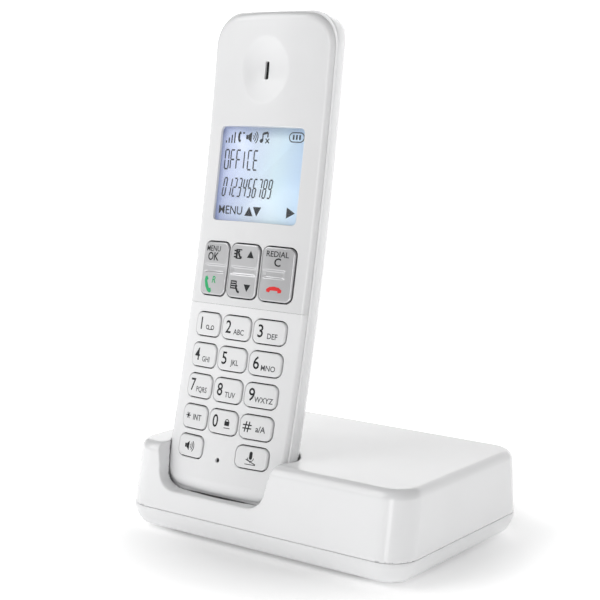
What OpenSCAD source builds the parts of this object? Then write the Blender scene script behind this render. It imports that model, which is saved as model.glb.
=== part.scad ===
// Cordless telephone: a bowed handset standing in the cradle of a low charging base.
// Origin: centre of the base's footprint, on the table. +X right, +Y to the back, +Z up.

/* [Base] */
// Width of the base
base_w = 109; // [98:1:132]
// Depth of the base
base_d = 78; // [74:1:94]
// Height of the base, feet included
base_h = 28.7; // [27:0.1:35]
// Height of the seam between tray and cover
seam_h = 7.6; // [6.4:0.1:9.1]
// Corner radius of the base seen from above
base_r = 9.5; // [6:0.5:11.5]
// Wall of the base cover and tray
base_wall = 2; // [1.6:0.1:2.4]
// How far the front face leans back from seam to top
front_lean = 3.2; // [1:0.1:4]
// How far the back face leans forward from seam to top
back_lean = 1.8; // [0.5:0.1:3]
// How far the tray pulls in from the seam to its bottom
tray_taper = 3.1; // [1:0.1:3.8]
// Rounding of the cover's upper edge
edge_r = 3; // [2:0.1:3.6]
// Height of the rubber feet
foot_h = 0.8; // [0.5:0.1:1]
// Diameter of the rubber feet
foot_d = 9; // [7:0.5:11]

/* [Cradle] */
// From the base's left side to the middle of the cradle
cradle_x = 35.6; // [33:0.1:43]
// From the base's front edge to the handset's lower front edge
cradle_y = 2.7; // [2.4:0.1:3.3]
// Height of the handset's lower front edge
cradle_z = 14.6; // [13.8:0.1:16]
// Lean of the handset at its lower end, in degrees
seat_lean = 14.5; // [12:0.5:16]
// Clearance between handset and cradle
cradle_gap = 0.5; // [0.4:0.05:0.8]
// Height of the lip that the front opening leaves
lip_h = 14.3; // [13.6:0.1:15.5]
// Width of the front opening at the lip
mouth_w = 43.4; // [38:0.1:44]
// Corner radius of the front opening
mouth_r = 7; // [4:0.5:8]

/* [Handset] */
// Width of the handset over its rear cover
set_w = 49.6; // [48:0.1:58]
// Length of the handset
set_l = 158.8; // [156:0.1:190]
// Thickness of the handset
set_t = 24.4; // [24.3:0.1:28]
// Wall of the handset's covers
set_wall = 1.7; // [1.5:0.1:2]
// Lengthwise bow radius of the front face
bow_r = 1000; // [800:10:1400]
// Crosswise crown radius of the front face
crown_r = 73; // [60:1:110]
// Depth below the front face where the sides start to turn in
side_d = 6.4; // [6.3:0.1:6.8]
// Radius by which the sides turn into the back
back_side_r = 10; // [8:0.5:11]
// Corner radius of the upper end seen from the front
top_r = 11; // [8:0.5:13]
// Corner radius of the lower end seen from the front
foot_r = 8.5; // [7:0.5:10]
// Depth of the seam below the front face
seam_d = 5; // [4.5:0.1:6]
// Width of the rear cover's rim that shows round the front
rim = 0.8; // [0.4:0.1:1.2]
// Where the face panel ends and the keypad cover starts
panel_s = 62.1; // [61:0.1:63]
// Gap between neighbouring covers
joint_gap = 0.15; // [0.1:0.05:0.25]

/* [Display and earpiece] */
// Width of the display window
window_w = 33.8; // [28:0.1:35]
// Height of the display window
window_h = 31; // [24:0.1:33]
// Middle of the window along the handset
window_s = 105.25; // [103:0.05:108]
// Middle of the earpiece dish along the handset
dish_s = 139; // [136:0.1:141]
// Radius of the earpiece dish
dish_r = 10.9; // [8:0.1:11.5]
// Depth of the earpiece dish
dish_depth = 1.8; // [1:0.1:2]
// Length of the earpiece slot
slot_l = 5.6; // [4:0.1:8]

/* [Keys] */
// Width of a number key
key_w = 11.3; // [9:0.1:11.5]
// Height of a number key
key_h = 7.5; // [6:0.1:8]
// Sideways pitch of the number keys
pitch_x = 12.6; // [12.5:0.1:13]
// Lengthwise pitch of the number keys
pitch_s = 10.2; // [9.6:0.1:10.4]
// Middle of the first row of number keys
row_s = 55.2; // [54.6:0.1:56]
// Middle of the speaker and mute keys
low_row_s = 15; // [14.5:0.1:15.2]
// Travel of a number key
key_travel = 0.8; // [0.5:0.1:0.9]
// Height of the keys above the cover
key_proud = 0.3; // [0.1:0.05:0.5]
// Gap round a key
key_gap = 0.3; // [0.25:0.05:0.4]
// Height of a rocker key
rocker_h = 17.4; // [14:0.1:18]
// Middle of the rocker keys along the handset
rocker_s = 73.7; // [73.4:0.1:74]
// Width of the middle rocker key
rocker_w = 11.7; // [9:0.1:11.8]

/* [Inside] */
// Depth of the handset's circuit board below the front face
board_d = 8.2; // [8.1:0.1:8.3]
// Thickness of the circuit boards
board_t = 1.2; // [0.8:0.1:1.6]
// Diameter of an AAA cell
cell_d = 10.5; // [10.2:0.1:10.5]
// Length of an AAA cell
cell_l = 44.5; // [43.3:0.1:44.5]
// Diameter of the screws' shanks
screw_d = 2.2; // [1.8:0.1:2.6]

/* [Hidden] */
white = "#f1f1f1";
pale = "#e4e4e6";
silver = "#c9c9cc";
nickel = "#b9b6ae";
green = "#2f6b45";
black = "#202020";
rubber = "#8d8d90";
round_fn = 48;
bow_fn = 720;
big = 400;
eps = 0.02;

// the handset's place: s runs up its front face from the lower end, d runs into it
set_x = -base_w / 2 + cradle_x;
set_y = -base_d / 2 + cradle_y;
bow_y = set_y - bow_r * cos(seat_lean);
bow_z = cradle_z + bow_r * sin(seat_lean);
mid_s = set_l / 2;
slide_s = 8;
board_s = 76;
function lean_at(s) = seat_lean - s * 180 / (PI * bow_r);
function bow_drop(s, from) = pow(s - from, 2) / (2 * bow_r);

module at(s) {
    translate([set_x, bow_y, bow_z])
        rotate([-lean_at(s), 0, 0])
            translate([0, bow_r, 0])
                children();
}

// points on an arc of a circle, both ends included
function arc_pts(cx, cy, r, a0, a1, n) =
    [for (i = [0:n]) let (a = a0 + (a1 - a0) * i / n) [cx + r * cos(a), cy + r * sin(a)]];

function rounded_pts(w, y0, y1, r0, r1, n = 4) = concat(
    arc_pts(w / 2 - r0, y0 + r0, r0, -90, 0, n),
    arc_pts(w / 2 - r1, y1 - r1, r1, 0, 90, n),
    arc_pts(-w / 2 + r1, y1 - r1, r1, 90, 180, n),
    arc_pts(-w / 2 + r0, y0 + r0, r0, 180, 270, n)
);

// a block with rounded corners seen from the front, from depth y0 to y1
module front_block(w, h, r, y0, y1) {
    translate([0, y1, 0])
        rotate([90, 0, 0])
            linear_extrude(y1 - y0)
                polygon(rounded_pts(w, -h / 2, h / 2, r, r, 3));
}

// the handset's cross-section, grown by g, as [depth, across] points
front_corner_r = 2.6;
// the back's crown meets both side rounds without a kink
back_crown_r = (pow(set_w / 2 - back_side_r, 2) + pow(set_t - side_d, 2) - pow(back_side_r, 2))
    / (2 * (set_t - side_d - back_side_r));
function half_section(w, g) =
    let (
        fu = w / 2 - front_corner_r,
        fa = asin(fu / (crown_r - front_corner_r)),
        fd = crown_r - (crown_r - front_corner_r) * cos(fa),
        bu = w / 2 - back_side_r,
        ba = asin(bu / (back_crown_r - back_side_r)),
        bd = set_t - back_crown_r + (back_crown_r - back_side_r) * cos(ba)
    )
    concat(
        arc_pts(crown_r, 0, crown_r + g, 180, 180 - fa, 5),
        arc_pts(fd, fu, front_corner_r + g, 180 - fa - 12, 90, 3),
        arc_pts(bd, bu, back_side_r + g, 90, ba, 6),
        arc_pts(set_t - back_crown_r, 0, back_crown_r + g, ba - 5, 0, 7)
    );
function section(w, g) =
    let (half = half_section(w, g), last = len(half) - 1)
    concat(half, [for (i = [last - 1:-1:1]) [half[i][0], -half[i][1]]]);

// swings a [depth, across] outline along the bow; children of at(mid_s)
module bowed(points, reach = mid_s + 6) {
    half_a = reach * 180 / (PI * bow_r);
    translate([0, -bow_r, 0])
        rotate([90, 0, 90])
            rotate_extrude(angle = 2 * half_a, start = -half_a, $fn = bow_fn)
                polygon([for (p = points) [bow_r + p[0], p[1]]]);
}

// the handset's side view: rounded corners at both ends
nose_r = 3;
chin_r = 5;
heel_r = 7;
crown_end_r = 9;
function side_pts(g) =
    let (
        z = mid_s + g,
        back_r = bow_r + set_t,
        front_y = -pow(mid_s, 2) / (2 * bow_r) - 0.1 - g,
        hz = mid_s - heel_r,
        hy = -bow_r + sqrt(pow(back_r - heel_r, 2) - hz * hz),
        cz = mid_s - crown_end_r,
        cy = -bow_r + sqrt(pow(back_r - crown_end_r, 2) - cz * cz),
        ha = asin(hz / (back_r - heel_r)),
        ca = asin(cz / (back_r - crown_end_r))
    )
    concat(
        arc_pts(front_y + chin_r + g, -z + chin_r + g, chin_r + g, 180, 270, 5),
        arc_pts(hy, -hz, heel_r + g, -90, -ha, 5),
        [[set_t + 9, -hz + 2], [set_t + 9, cz - 2]],
        arc_pts(cy, cz, crown_end_r + g, ca - 4, 90, 6),
        arc_pts(front_y + nose_r + g, z - nose_r - g, nose_r + g, 90, 180, 3)
    );

// the handset's outer form, grown by g and narrowed by inset all round
module set_form(g = 0, inset = 0) {
    w = set_w - 2 * inset;
    at(mid_s)
        intersection() {
            bowed(section(w, g));
            translate([0, set_t + 12, 0])
                rotate([90, 0, 0])
                    linear_extrude(set_t + 24)
                        polygon(rounded_pts(w + 2 * g, -mid_s + inset - g, mid_s - inset + g,
                            foot_r + g, top_r + g, 6));
            translate([-set_w, 0, 0])
                rotate([90, 0, 90])
                    linear_extrude(2 * set_w)
                        polygon(side_pts(g - inset));
        }
}

// everything between two depths below the front face
module depth_slab(d0, d1) {
    at(mid_s)
        bowed([[d0, -set_w], [d1, -set_w], [d1, set_w], [d0, set_w]], mid_s + 12);
}

// everything between two places along the handset
module length_slab(s0, s1) {
    difference() {
        at(s0)
            translate([-set_w, -set_t, 0])
                cube([2 * set_w, 3 * set_t, s1 - s0 + 10]);
        at(s1)
            translate([-set_w, -set_t, 0])
                cube([2 * set_w, 3 * set_t, 20]);
    }
}

// keys: place, size and name of each
rocker_x = pitch_x * 1.01;
side_rocker_w = 11.5;
low_key_h = 6.9;
function row_at(row) = row < 4 ? row_s - row * pitch_s : low_row_s;
KEYS = [
    ["key_1", -1, 0], ["key_2", 0, 0], ["key_3", 1, 0],
    ["key_4", -1, 1], ["key_5", 0, 1], ["key_6", 1, 1],
    ["key_7", -1, 2], ["key_8", 0, 2], ["key_9", 1, 2],
    ["key_star", -1, 3], ["key_0", 0, 3], ["key_hash", 1, 3],
    ["key_speaker", -1, 4], ["key_mute", 1, 4]
];
ROCKERS = [
    ["rocker_menu_talk", -rocker_x, side_rocker_w],
    ["rocker_up_down", 0, rocker_w],
    ["rocker_redial_end", rocker_x, side_rocker_w]
];
function key_height(row) = row < 4 ? key_h : low_key_h;

// handset screws: across, along
SCREWS = [[-15, 147.5], [15, 147.5], [-14.5, 7.6], [14.5, 7.6]];
boss_r = 2.9;
head_r = 2.1;
head_h = 1.6;
screw_head_d = set_t - back_crown_r + sqrt(pow(back_crown_r, 2) - pow(15 + head_r, 2)) - 1;
pilot_gap = 0.04;

module at_screws() {
    for (p = SCREWS)
        at(p[1])
            translate([p[0], 0, 0])
                rotate([-90, 0, 0])
                    children();
}

// ---- handset covers ----

module front_shell() {
    difference() {
        union() {
            difference() {
                intersection() {
                    set_form(0, rim);
                    depth_slab(-8, seam_d);
                }
                set_form(-set_wall, rim);
            }
            intersection() {
                set_form(-eps, rim);
                at_screws()
                    cylinder(r = boss_r, h = seam_d, $fn = round_fn);
            }
        }
        at_screws()
            translate([0, 0, set_wall + 0.9])
                cylinder(d = screw_d + pilot_gap, h = 10, $fn = round_fn);
    }
}

// the opening that a key passes through
module key_opening(s, x, w, h) {
    at(s)
        translate([x, 0, 0])
            front_block(w + 2 * key_gap, h + 2 * key_gap, 1.9, -4, 6);
}

mic_s = 12.3;
mic_r = 0.5;

module keypad_cover() {
    color(white)
        difference() {
            intersection() {
                front_shell();
                length_slab(-10, panel_s - joint_gap / 2);
            }
            for (k = KEYS)
                key_opening(row_at(k[2]), k[1] * pitch_x, key_w, key_height(k[2]));
            at(mic_s)
                translate([0, -5, 0])
                    rotate([-90, 0, 0])
                        cylinder(r = mic_r, h = 10, $fn = round_fn);
        }
}

// the concave dish under the ear, a shallow cap of a sphere
dish_ball_r = (pow(dish_r, 2) + pow(dish_depth, 2)) / (2 * dish_depth);
dish_back = dish_depth + 1.7;
slot_w = 1;
pane_d = 3;
pane_t = 0.8;
pane_w = window_w + 3.2;
pane_h = window_h + 3.2;

module face_panel() {
    color(pale)
        difference() {
            union() {
                intersection() {
                    front_shell();
                    length_slab(panel_s + joint_gap / 2, set_l + 8);
                }
                intersection() {
                    set_form(-eps, rim);
                    at(dish_s)
                        rotate([-90, 0, 0])
                            cylinder(r = dish_r + 0.6, h = dish_back, $fn = round_fn);
                }
                intersection() {
                    set_form(-eps, rim);
                    at(window_s)
                        front_block(pane_w + 1.6, pane_h + 1.6, 1.5, -2, pane_d + pane_t);
                }
            }
            for (r = ROCKERS)
                key_opening(rocker_s, r[1], r[2], rocker_h);
            at(window_s)
                front_block(window_w, window_h, 1.5, -4, 8);
            at(window_s)
                front_block(pane_w + 0.2, pane_h + 0.2, 1.3, pane_d, 9);
            at(dish_s)
                translate([0, dish_depth - dish_ball_r, 0])
                    sphere(r = dish_ball_r, $fn = round_fn);
            at(dish_s)
                front_block(slot_w, slot_l, 0.45, -2, 8);
        }
}

bay_w = 2 * cell_d + 1.4;
plate_t = 0.4;
bay_l = cell_l + 5;
bay_s = 59.5;
bay_d = board_d + board_t + 1.9;
bay_wall = 1.2;
door_w = bay_w + 4.8;
door_l = bay_l + 9;
door_t = min(1.35, set_wall - 0.35);
door_gap = 0.3;
ringer_s = 118;
ringer_r = 10;
ringer_d = 16.4;
ringer_h = 4.2;
contact_x = 8;
contact_y = 10.8;

module bay_box(grow, d0, d1) {
    at(bay_s)
        translate([-bay_w / 2 - grow, d0, -bay_l / 2 - grow])
            cube([bay_w + 2 * grow, d1 - d0, bay_l + 2 * grow]);
}

module charge_plate(grow) {
    for (side = [-1, 1])
        at(mid_s)
            translate([side * contact_x - 2 - grow, contact_y - 3 - grow, -mid_s])
                cube([4 + 2 * grow, 6 + 2 * grow, 0.5]);
}

module handset_back_cover() {
    color(white)
        difference() {
            union() {
                difference() {
                    intersection() {
                        set_form();
                        depth_slab(seam_d + joint_gap, set_t + 12);
                    }
                    set_form(-set_wall);
                }
                intersection() {
                    set_form(-0.4);
                    union() {
                        bay_box(bay_wall, bay_d - bay_wall, set_t + 2);
                        at(bay_s)
                            front_block(door_w + 4, door_l + 4, 4, set_t - 8.5, set_t + 4);
                    }
                }
                intersection() {
                    set_form(-eps);
                    at_screws()
                        translate([0, 0, seam_d + joint_gap])
                            cylinder(r = boss_r, h = set_t, $fn = round_fn);
                }
                intersection() {
                    set_form(-eps);
                    at(ringer_s)
                        rotate([-90, 0, 0])
                            translate([0, 0, ringer_d])
                                cylinder(r = ringer_r + 1.4, h = 9, $fn = round_fn);
                }
            }
            bay_box(0, bay_d, set_t + 4);
            difference() {
                at(bay_s)
                    front_block(door_w + 2 * door_gap, door_l + 2 * door_gap, 3, set_t - 8, set_t + 4);
                set_form(-door_t - door_gap);
            }
            at(ringer_s)
                rotate([-90, 0, 0])
                    translate([0, 0, ringer_d - 1])
                        cylinder(r = ringer_r + 0.2, h = ringer_h + 1, $fn = round_fn);
            for (i = [-2:2])
                at(ringer_s + i * 2.8)
                    front_block(13 - 1.6 * abs(i), 1.2, 0.55, set_t - 6, set_t + 4);
            at_screws()
                union() {
                    translate([0, 0, seam_d - 1])
                        cylinder(d = screw_d + 0.3, h = 30, $fn = round_fn);
                    translate([0, 0, screw_head_d - head_h])
                        cylinder(r = head_r + 0.2, h = 12, $fn = round_fn);
                }
            charge_plate(0);
        }
}

module battery_door() {
    color(white)
        difference() {
            intersection() {
                set_form();
                at(bay_s)
                    front_block(door_w, door_l, 3 - door_gap, set_t - 7, set_t + 4);
            }
            set_form(-door_t);
            for (i = [-2:2])
                at(bay_s + bay_l / 2 - 6 + i * 1.6)
                    front_block(9, 0.7, 0.3, set_t - 0.5, set_t + 3);
        }
}

// ---- keys ----

cap_back = set_wall + 0.15;
flange_t = 0.8;
flange_lap = 0.45;
stem_r = 1.7;
mat_t = 0.8;
dome_h = 1;
dome_r = 2.6;
function stem_end(s) =
    board_d + bow_drop(s, board_s) - mat_t - dome_h - key_travel - 0.15;

// a layer of the crowned front between two depths, children clip it to a key's outline
module crowned_layer(d0, d1) {
    intersection() {
        children();
        translate([0, crown_r, -big / 8])
            difference() {
                cylinder(r = crown_r - d0, h = big / 4, $fn = round_fn);
                translate([0, 0, -1])
                    cylinder(r = crown_r - d1, h = big / 4 + 2, $fn = round_fn);
            }
    }
}

module number_key(name) {
    k = KEYS[search([name], KEYS)[0]];
    s = row_at(k[2]);
    x = k[1] * pitch_x;
    h = key_height(k[2]);
    drop = crown_r - sqrt(pow(crown_r, 2) - x * x);
    color(white)
        at(s)
            union() {
                crowned_layer(-key_proud, cap_back + 0.4)
                    translate([x, 0, 0])
                        front_block(key_w, h, 1.6, -3, 9);
                crowned_layer(cap_back, cap_back + flange_t)
                    translate([x, 0, 0])
                        front_block(key_w + 2 * flange_lap, h + 2 * flange_lap, 1.8, -3, 9);
                translate([x, drop + cap_back + 0.3, 0])
                    rotate([-90, 0, 0])
                        cylinder(r = stem_r, h = stem_end(s) - drop - cap_back - 0.3, $fn = round_fn);
            }
}

rocker_pivot_d = 2.6;
rocker_swing = 3;
groove_h = 2.5;
groove_t = 0.5;
function rocker_foot_s(end) = rocker_s + end * (rocker_h / 2 - 3.2);

module rocker_key(name) {
    r = ROCKERS[search([name], ROCKERS)[0]];
    x = r[1];
    drop = crown_r - sqrt(pow(crown_r, 2) - x * x);
    color(silver)
        at(rocker_s)
            difference() {
                union() {
                    crowned_layer(-key_proud, cap_back + 0.7)
                        translate([x, 0, 0])
                            front_block(r[2], rocker_h, 1.5, -3, 9);
                    crowned_layer(cap_back + 0.6, cap_back + 0.6 + flange_t)
                        translate([x, 0, 0])
                            front_block(r[2] + 0.9, rocker_h + 1, 1.8, -3, 9);
                    for (end = [-1, 1])
                        translate([x, drop + cap_back + 0.8, end * (rocker_h / 2 - 3.2)])
                            rotate([-90, 0, 0])
                                cylinder(r = stem_r, h = stem_end(rocker_s) - drop - cap_back - 0.8,
                                    $fn = round_fn);
                    translate([x - r[2] / 2 + 1, drop + rocker_pivot_d, 0])
                        rotate([0, 90, 0])
                            cylinder(r = 1, h = r[2] - 2, $fn = round_fn);
                }
                crowned_layer(-3, groove_t - key_proud)
                    translate([x - sign(x), 0, 0])
                        front_block(r[2] - (x == 0 ? -1 : 1.4), groove_h, 0.2, -3, 9);
            }
}

// where every key or rocker end presses: across, along
function press_points() = concat(
    [for (k = KEYS) [k[1] * pitch_x, row_at(k[2])]],
    [for (r = ROCKERS, end = [-1, 1]) [r[1], rocker_foot_s(end)]]
);

module keypad_mat() {
    mat_w = 38.4;
    mat_s0 = 10.5;
    mat_s1 = rocker_s + rocker_h / 2 + 1;
    color(rubber)
        difference() {
            at(board_s)
                union() {
                    translate([-mat_w / 2, board_d - mat_t, mat_s0 - board_s])
                        cube([mat_w, mat_t, mat_s1 - mat_s0]);
                    for (p = press_points())
                        translate([p[0], board_d - mat_t + eps, p[1] - board_s])
                            rotate([90, 0, 0])
                                cylinder(r = dome_r, h = dome_h + eps, $fn = round_fn);
                }
            at(board_s)
                translate([0, board_d - 6, mic_s - board_s])
                    rotate([-90, 0, 0])
                        cylinder(r = 3.4, h = 9, $fn = round_fn);
        }
}

// ---- handset inside ----

module display_window() {
    color([0.85, 0.9, 0.95, 0.4])
        at(window_s)
            front_block(pane_w, pane_h, 1.2, pane_d, pane_d + pane_t);
}

lcd_t = 2;
light_t = 2;
module lcd_module() {
    color("#cfe3f2")
        at(window_s)
            union() {
                front_block(window_w + 1.6, window_h + 1.6, 0.6, pane_d + pane_t, pane_d + pane_t + lcd_t);
                translate([-6, pane_d + pane_t + 0.6, -window_h / 2 - 3.4])
                    cube([12, 1, 3]);
            }
}

module lcd_backlight() {
    color("#f7fbff")
        at(window_s)
            translate([-window_w / 2 - 1.2, pane_d + pane_t + lcd_t, -window_h / 2 - 1.2])
                cube([window_w + 2.4, light_t, window_h + 2.4]);
}

module earpiece_speaker() {
    color(black)
        at(dish_s)
            rotate([-90, 0, 0])
                translate([0, 0, dish_back + 0.4])
                    difference() {
                        union() {
                            cylinder(r = 7.5, h = 3.2, $fn = round_fn);
                            cylinder(r = 5.2, h = 4.2, $fn = round_fn);
                        }
                        translate([0, 0, -eps])
                            cylinder(r = 5.6, h = 0.5, $fn = round_fn);
                    }
}

module earpiece_felt() {
    color("#3a3a3a")
        at(dish_s)
            rotate([-90, 0, 0])
                translate([0, 0, dish_back])
                    cylinder(r = 7.5, h = 0.4, $fn = round_fn);
}

module handset_circuit_board() {
    board_w = 39;
    s0 = 5;
    s1 = 151;
    color(green)
        difference() {
            at(board_s)
                translate([-board_w / 2, board_d, s0 - board_s])
                    cube([board_w, board_t, s1 - s0]);
            at_screws()
                cylinder(r = boss_r + 0.5, h = 20, $fn = round_fn);
            at(board_s)
                for (side = [-1, 1])
                    translate([side * (board_w / 2 + 1), board_d - 2, s1 - board_s + 1])
                        rotate([-90, 0, 0])
                            cylinder(r = 8, h = 6, $fn = 4);
        }
}

module handset_rf_shield() {
    color(nickel)
        at(board_s)
            difference() {
                translate([-14, board_d + board_t, 17])
                    cube([28, 2.4, 15]);
                translate([-13.7, board_d + board_t - 1, 17.3])
                    cube([27.4, 3.1, 14.4]);
            }
}

module microphone() {
    color(black)
        at(board_s)
            translate([0, board_d - 2.6, mic_s - board_s])
                rotate([-90, 0, 0])
                    difference() {
                        cylinder(r = 3, h = 2.6, $fn = round_fn);
                        translate([0, 0, -eps])
                            cylinder(r = 0.7, h = 0.8, $fn = round_fn);
                    }
}

module ringer_speaker() {
    color(black)
        at(ringer_s)
            rotate([-90, 0, 0])
                translate([0, 0, ringer_d])
                    union() {
                        cylinder(r = ringer_r, h = ringer_h - 1.2, $fn = round_fn);
                        cylinder(r = ringer_r - 2, h = ringer_h, $fn = round_fn);
                        translate([0, 0, -1.6])
                            cylinder(r = 5, h = 2, $fn = round_fn);
                    }
}

cell_y = bay_d + 0.1 + cell_d / 2;
cell_x = cell_d / 2 + 0.25;
cell_low = bay_s + bay_l / 2 - plate_t - cell_l;

module battery_cell(side) {
    cap_h = 0.9;
    color("#6f9a58")
        at(bay_s)
            translate([side * cell_x, cell_y, cell_low - bay_s])
                union() {
                    cylinder(d = cell_d, h = cell_l - cap_h, $fn = round_fn);
                    cylinder(d = 3.8, h = cell_l, $fn = round_fn);
                }
}
module battery_cell_left() { battery_cell(-1); }
module battery_cell_right() { battery_cell(1); }

// a coil spring as one tube swept along a helix
function helix_ring(r, wire, a, z, sides) =
    [for (j = [0:sides - 1]) let (b = j * 360 / sides)
        [(r + wire * cos(b)) * cos(a), (r + wire * cos(b)) * sin(a), z + wire * sin(b)]];
module coil(r, wire, turns, h, steps = 14, sides = 6) {
    rings = turns * steps;
    points = [for (i = [0:rings]) each helix_ring(r, wire, i * 360 / steps, h * i / rings, sides)];
    side_faces = [for (i = [0:rings - 1], j = [0:sides - 1])
        let (a = i * sides + j, b = i * sides + (j + 1) % sides)
        [a, b, b + sides, a + sides]];
    polyhedron(
        points = points,
        faces = concat(
            side_faces,
            [[for (j = [sides - 1:-1:0]) j]],
            [[for (j = [0:sides - 1]) rings * sides + j]]
        ),
        convexity = 6
    );
}

module battery_springs() {
    room = cell_low - (bay_s - bay_l / 2) - plate_t;
    color(nickel)
        for (side = [-1, 1])
            at(bay_s)
                translate([side * cell_x, cell_y, -bay_l / 2])
                    union() {
                        translate([-4, -4, 0])
                            cube([8, 8, plate_t]);
                        translate([0, 0, plate_t + 0.25])
                            coil(2.6, 0.3, 3, room - 0.6);
                    }
}

module battery_plates() {
    color(nickel)
        for (side = [-1, 1])
            at(bay_s)
                translate([side * cell_x - 4, cell_y - 4, bay_l / 2 - plate_t])
                    cube([8, 8, plate_t]);
}

module handset_charge_contacts() {
    color(nickel)
        charge_plate(0);
}

module handset_screws() {
    tip = set_wall + 1.4;
    color("#9a9a9a")
        at_screws()
            difference() {
                union() {
                    translate([0, 0, tip])
                        cylinder(d = screw_d, h = screw_head_d - head_h - tip + eps, $fn = round_fn);
                    translate([0, 0, screw_head_d - head_h])
                        cylinder(r = head_r, h = head_h, $fn = round_fn);
                }
                for (turn = [0, 90])
                    translate([0, 0, screw_head_d])
                        rotate([0, 0, turn])
                            cube([2.4, 0.5, 1.6], center = true);
            }
}

// ---- base ----

// a smooth closed form: plan outline at the bottom, rounded edge at the top
module cover_form(g, z0) {
    half_w = base_w / 2 + g;
    front = -base_d / 2 - g;
    back = base_d / 2 + g;
    r = base_r + g;
    er = max(edge_r + g, 0.6);
    top = base_h + g;
    hull() {
        for (side = [-1, 1]) {
            translate([side * (half_w - r), front + r, z0])
                cylinder(r = r, h = 0.5, $fn = 32);
            translate([side * (half_w - r), back - r, z0])
                cylinder(r = r, h = 0.5, $fn = 32);
            translate([side * (half_w - r - 0.3), front + front_lean + r, top - er])
                rotate_extrude($fn = 32)
                    translate([r - er, 0])
                        circle(r = er, $fn = 20);
            translate([side * (half_w - r - 0.3), back - back_lean - r, top - er])
                rotate_extrude($fn = 32)
                    translate([r - er, 0])
                        circle(r = er, $fn = 20);
        }
    }
}

// the room that the handset needs in the cradle, grown by g
module cradle_room(g) {
    intersection() {
        set_form(cradle_gap + g);
        length_slab(-12, slide_s + 4);
    }
    at(slide_s)
        translate([0, 0, 3.8])
            linear_extrude(50)
                polygon([for (p = section(set_w, cradle_gap + g)) [p[1], p[0]]]);
}

// the front opening: widens a little upwards
module cradle_mouth() {
    half = mouth_w / 2;
    flare = 1.7;
    translate([set_x, -base_d / 2 + 11, 0])
        rotate([90, 0, 0])
            linear_extrude(20)
                polygon(concat(
                    arc_pts(half - mouth_r, lip_h + mouth_r, mouth_r, -90, 0, 6),
                    [[half + flare, base_h], [half + flare, base_h + 6]],
                    [[-half - flare, base_h + 6], [-half - flare, base_h]],
                    arc_pts(-half + mouth_r, lip_h + mouth_r, mouth_r, 180, 270, 6)
                ));
}

well_wall = 1.8;
board_x0 = set_x + set_w / 2 + cradle_gap + well_wall + 1;
jack_z = 14;
line_x = 12;
power_x = 34;
page_x = -34;
page_z = 17;
page_r = 4.5;
base_board_z = 7.4;
wall_y = base_d / 2;
// inside face of the cover's back wall at a height
function back_in(z) = wall_y - base_wall - back_lean * (z - seam_h) / (base_h - edge_r - seam_h);

// base screws: across, along, and whether the circuit board lies between the posts
BASE_SCREWS = [
    [-base_w / 2 + 8.5, base_d / 2 - 8, 0],
    [base_w / 2 - 8.5, base_d / 2 - 8, 1],
    [base_w / 2 - 8.5, -base_d / 2 + 10, 1],
    [board_x0 + 3, -base_d / 2 + 10, 1]
];
post_r = 3.2;

contact_foot = 5.5;
module cradle_contact_slots(grow) {
    for (side = [-1, 1])
        at(mid_s)
            translate([side * contact_x - 1.2 - grow, contact_y - 2.5 - grow, -mid_s - 9])
                cube([2.4 + 2 * grow, 5 + 2 * grow, 9]);
}

module base_cover() {
    color(white)
        difference() {
            union() {
                difference() {
                    cover_form(0, seam_h + joint_gap);
                    translate([0, 0, -base_h / 2])
                        cover_form(-base_wall, 0);
                    cover_form(-base_wall, 0);
                }
                intersection() {
                    cover_form(-0.3, seam_h + joint_gap);
                    cradle_room(well_wall);
                }
                intersection() {
                    cover_form(-0.5, seam_h + joint_gap);
                    for (p = BASE_SCREWS)
                        translate([p[0], p[1], base_board_z + p[2] * (board_t + 0.2)])
                            cylinder(r = post_r, h = base_h, $fn = round_fn);
                }
            }
            cradle_room(0);
            cradle_mouth();
            cradle_contact_slots(0.3);
            for (p = BASE_SCREWS)
                translate([p[0], p[1], 0])
                    cylinder(d = screw_d + pilot_gap, h = 18, $fn = round_fn);
            translate([line_x - 5.6, wall_y - 8, jack_z - 4.3])
                cube([11.2, 20, 8.6]);
            translate([power_x - 4.2, wall_y - 8, jack_z - 4.2])
                cube([8.4, 20, 8.4]);
            translate([page_x, wall_y - 8, page_z])
                rotate([-90, 0, 0])
                    cylinder(r = page_r + 0.3, h = 20, $fn = round_fn);
        }
}

module tray_form(g) {
    r = base_r + g;
    z0 = foot_h - g;
    low = tray_taper;
    hull() {
        for (sx = [-1, 1], sy = [-1, 1]) {
            translate([sx * (base_w / 2 + g - r), sy * (base_d / 2 + g - r), seam_h - 1.2])
                cylinder(r = r, h = 1.2, $fn = 32);
            translate([sx * (base_w / 2 + g - r), sy * (base_d / 2 + g - r), z0])
                cylinder(r = r - low, h = 1, $fn = 32);
            translate([sx * (base_w / 2 + g - r), sy * (base_d / 2 + g - r), z0 + 2])
                cylinder(r = r - low * 0.35, h = 0.5, $fn = 32);
        }
    }
}

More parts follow.
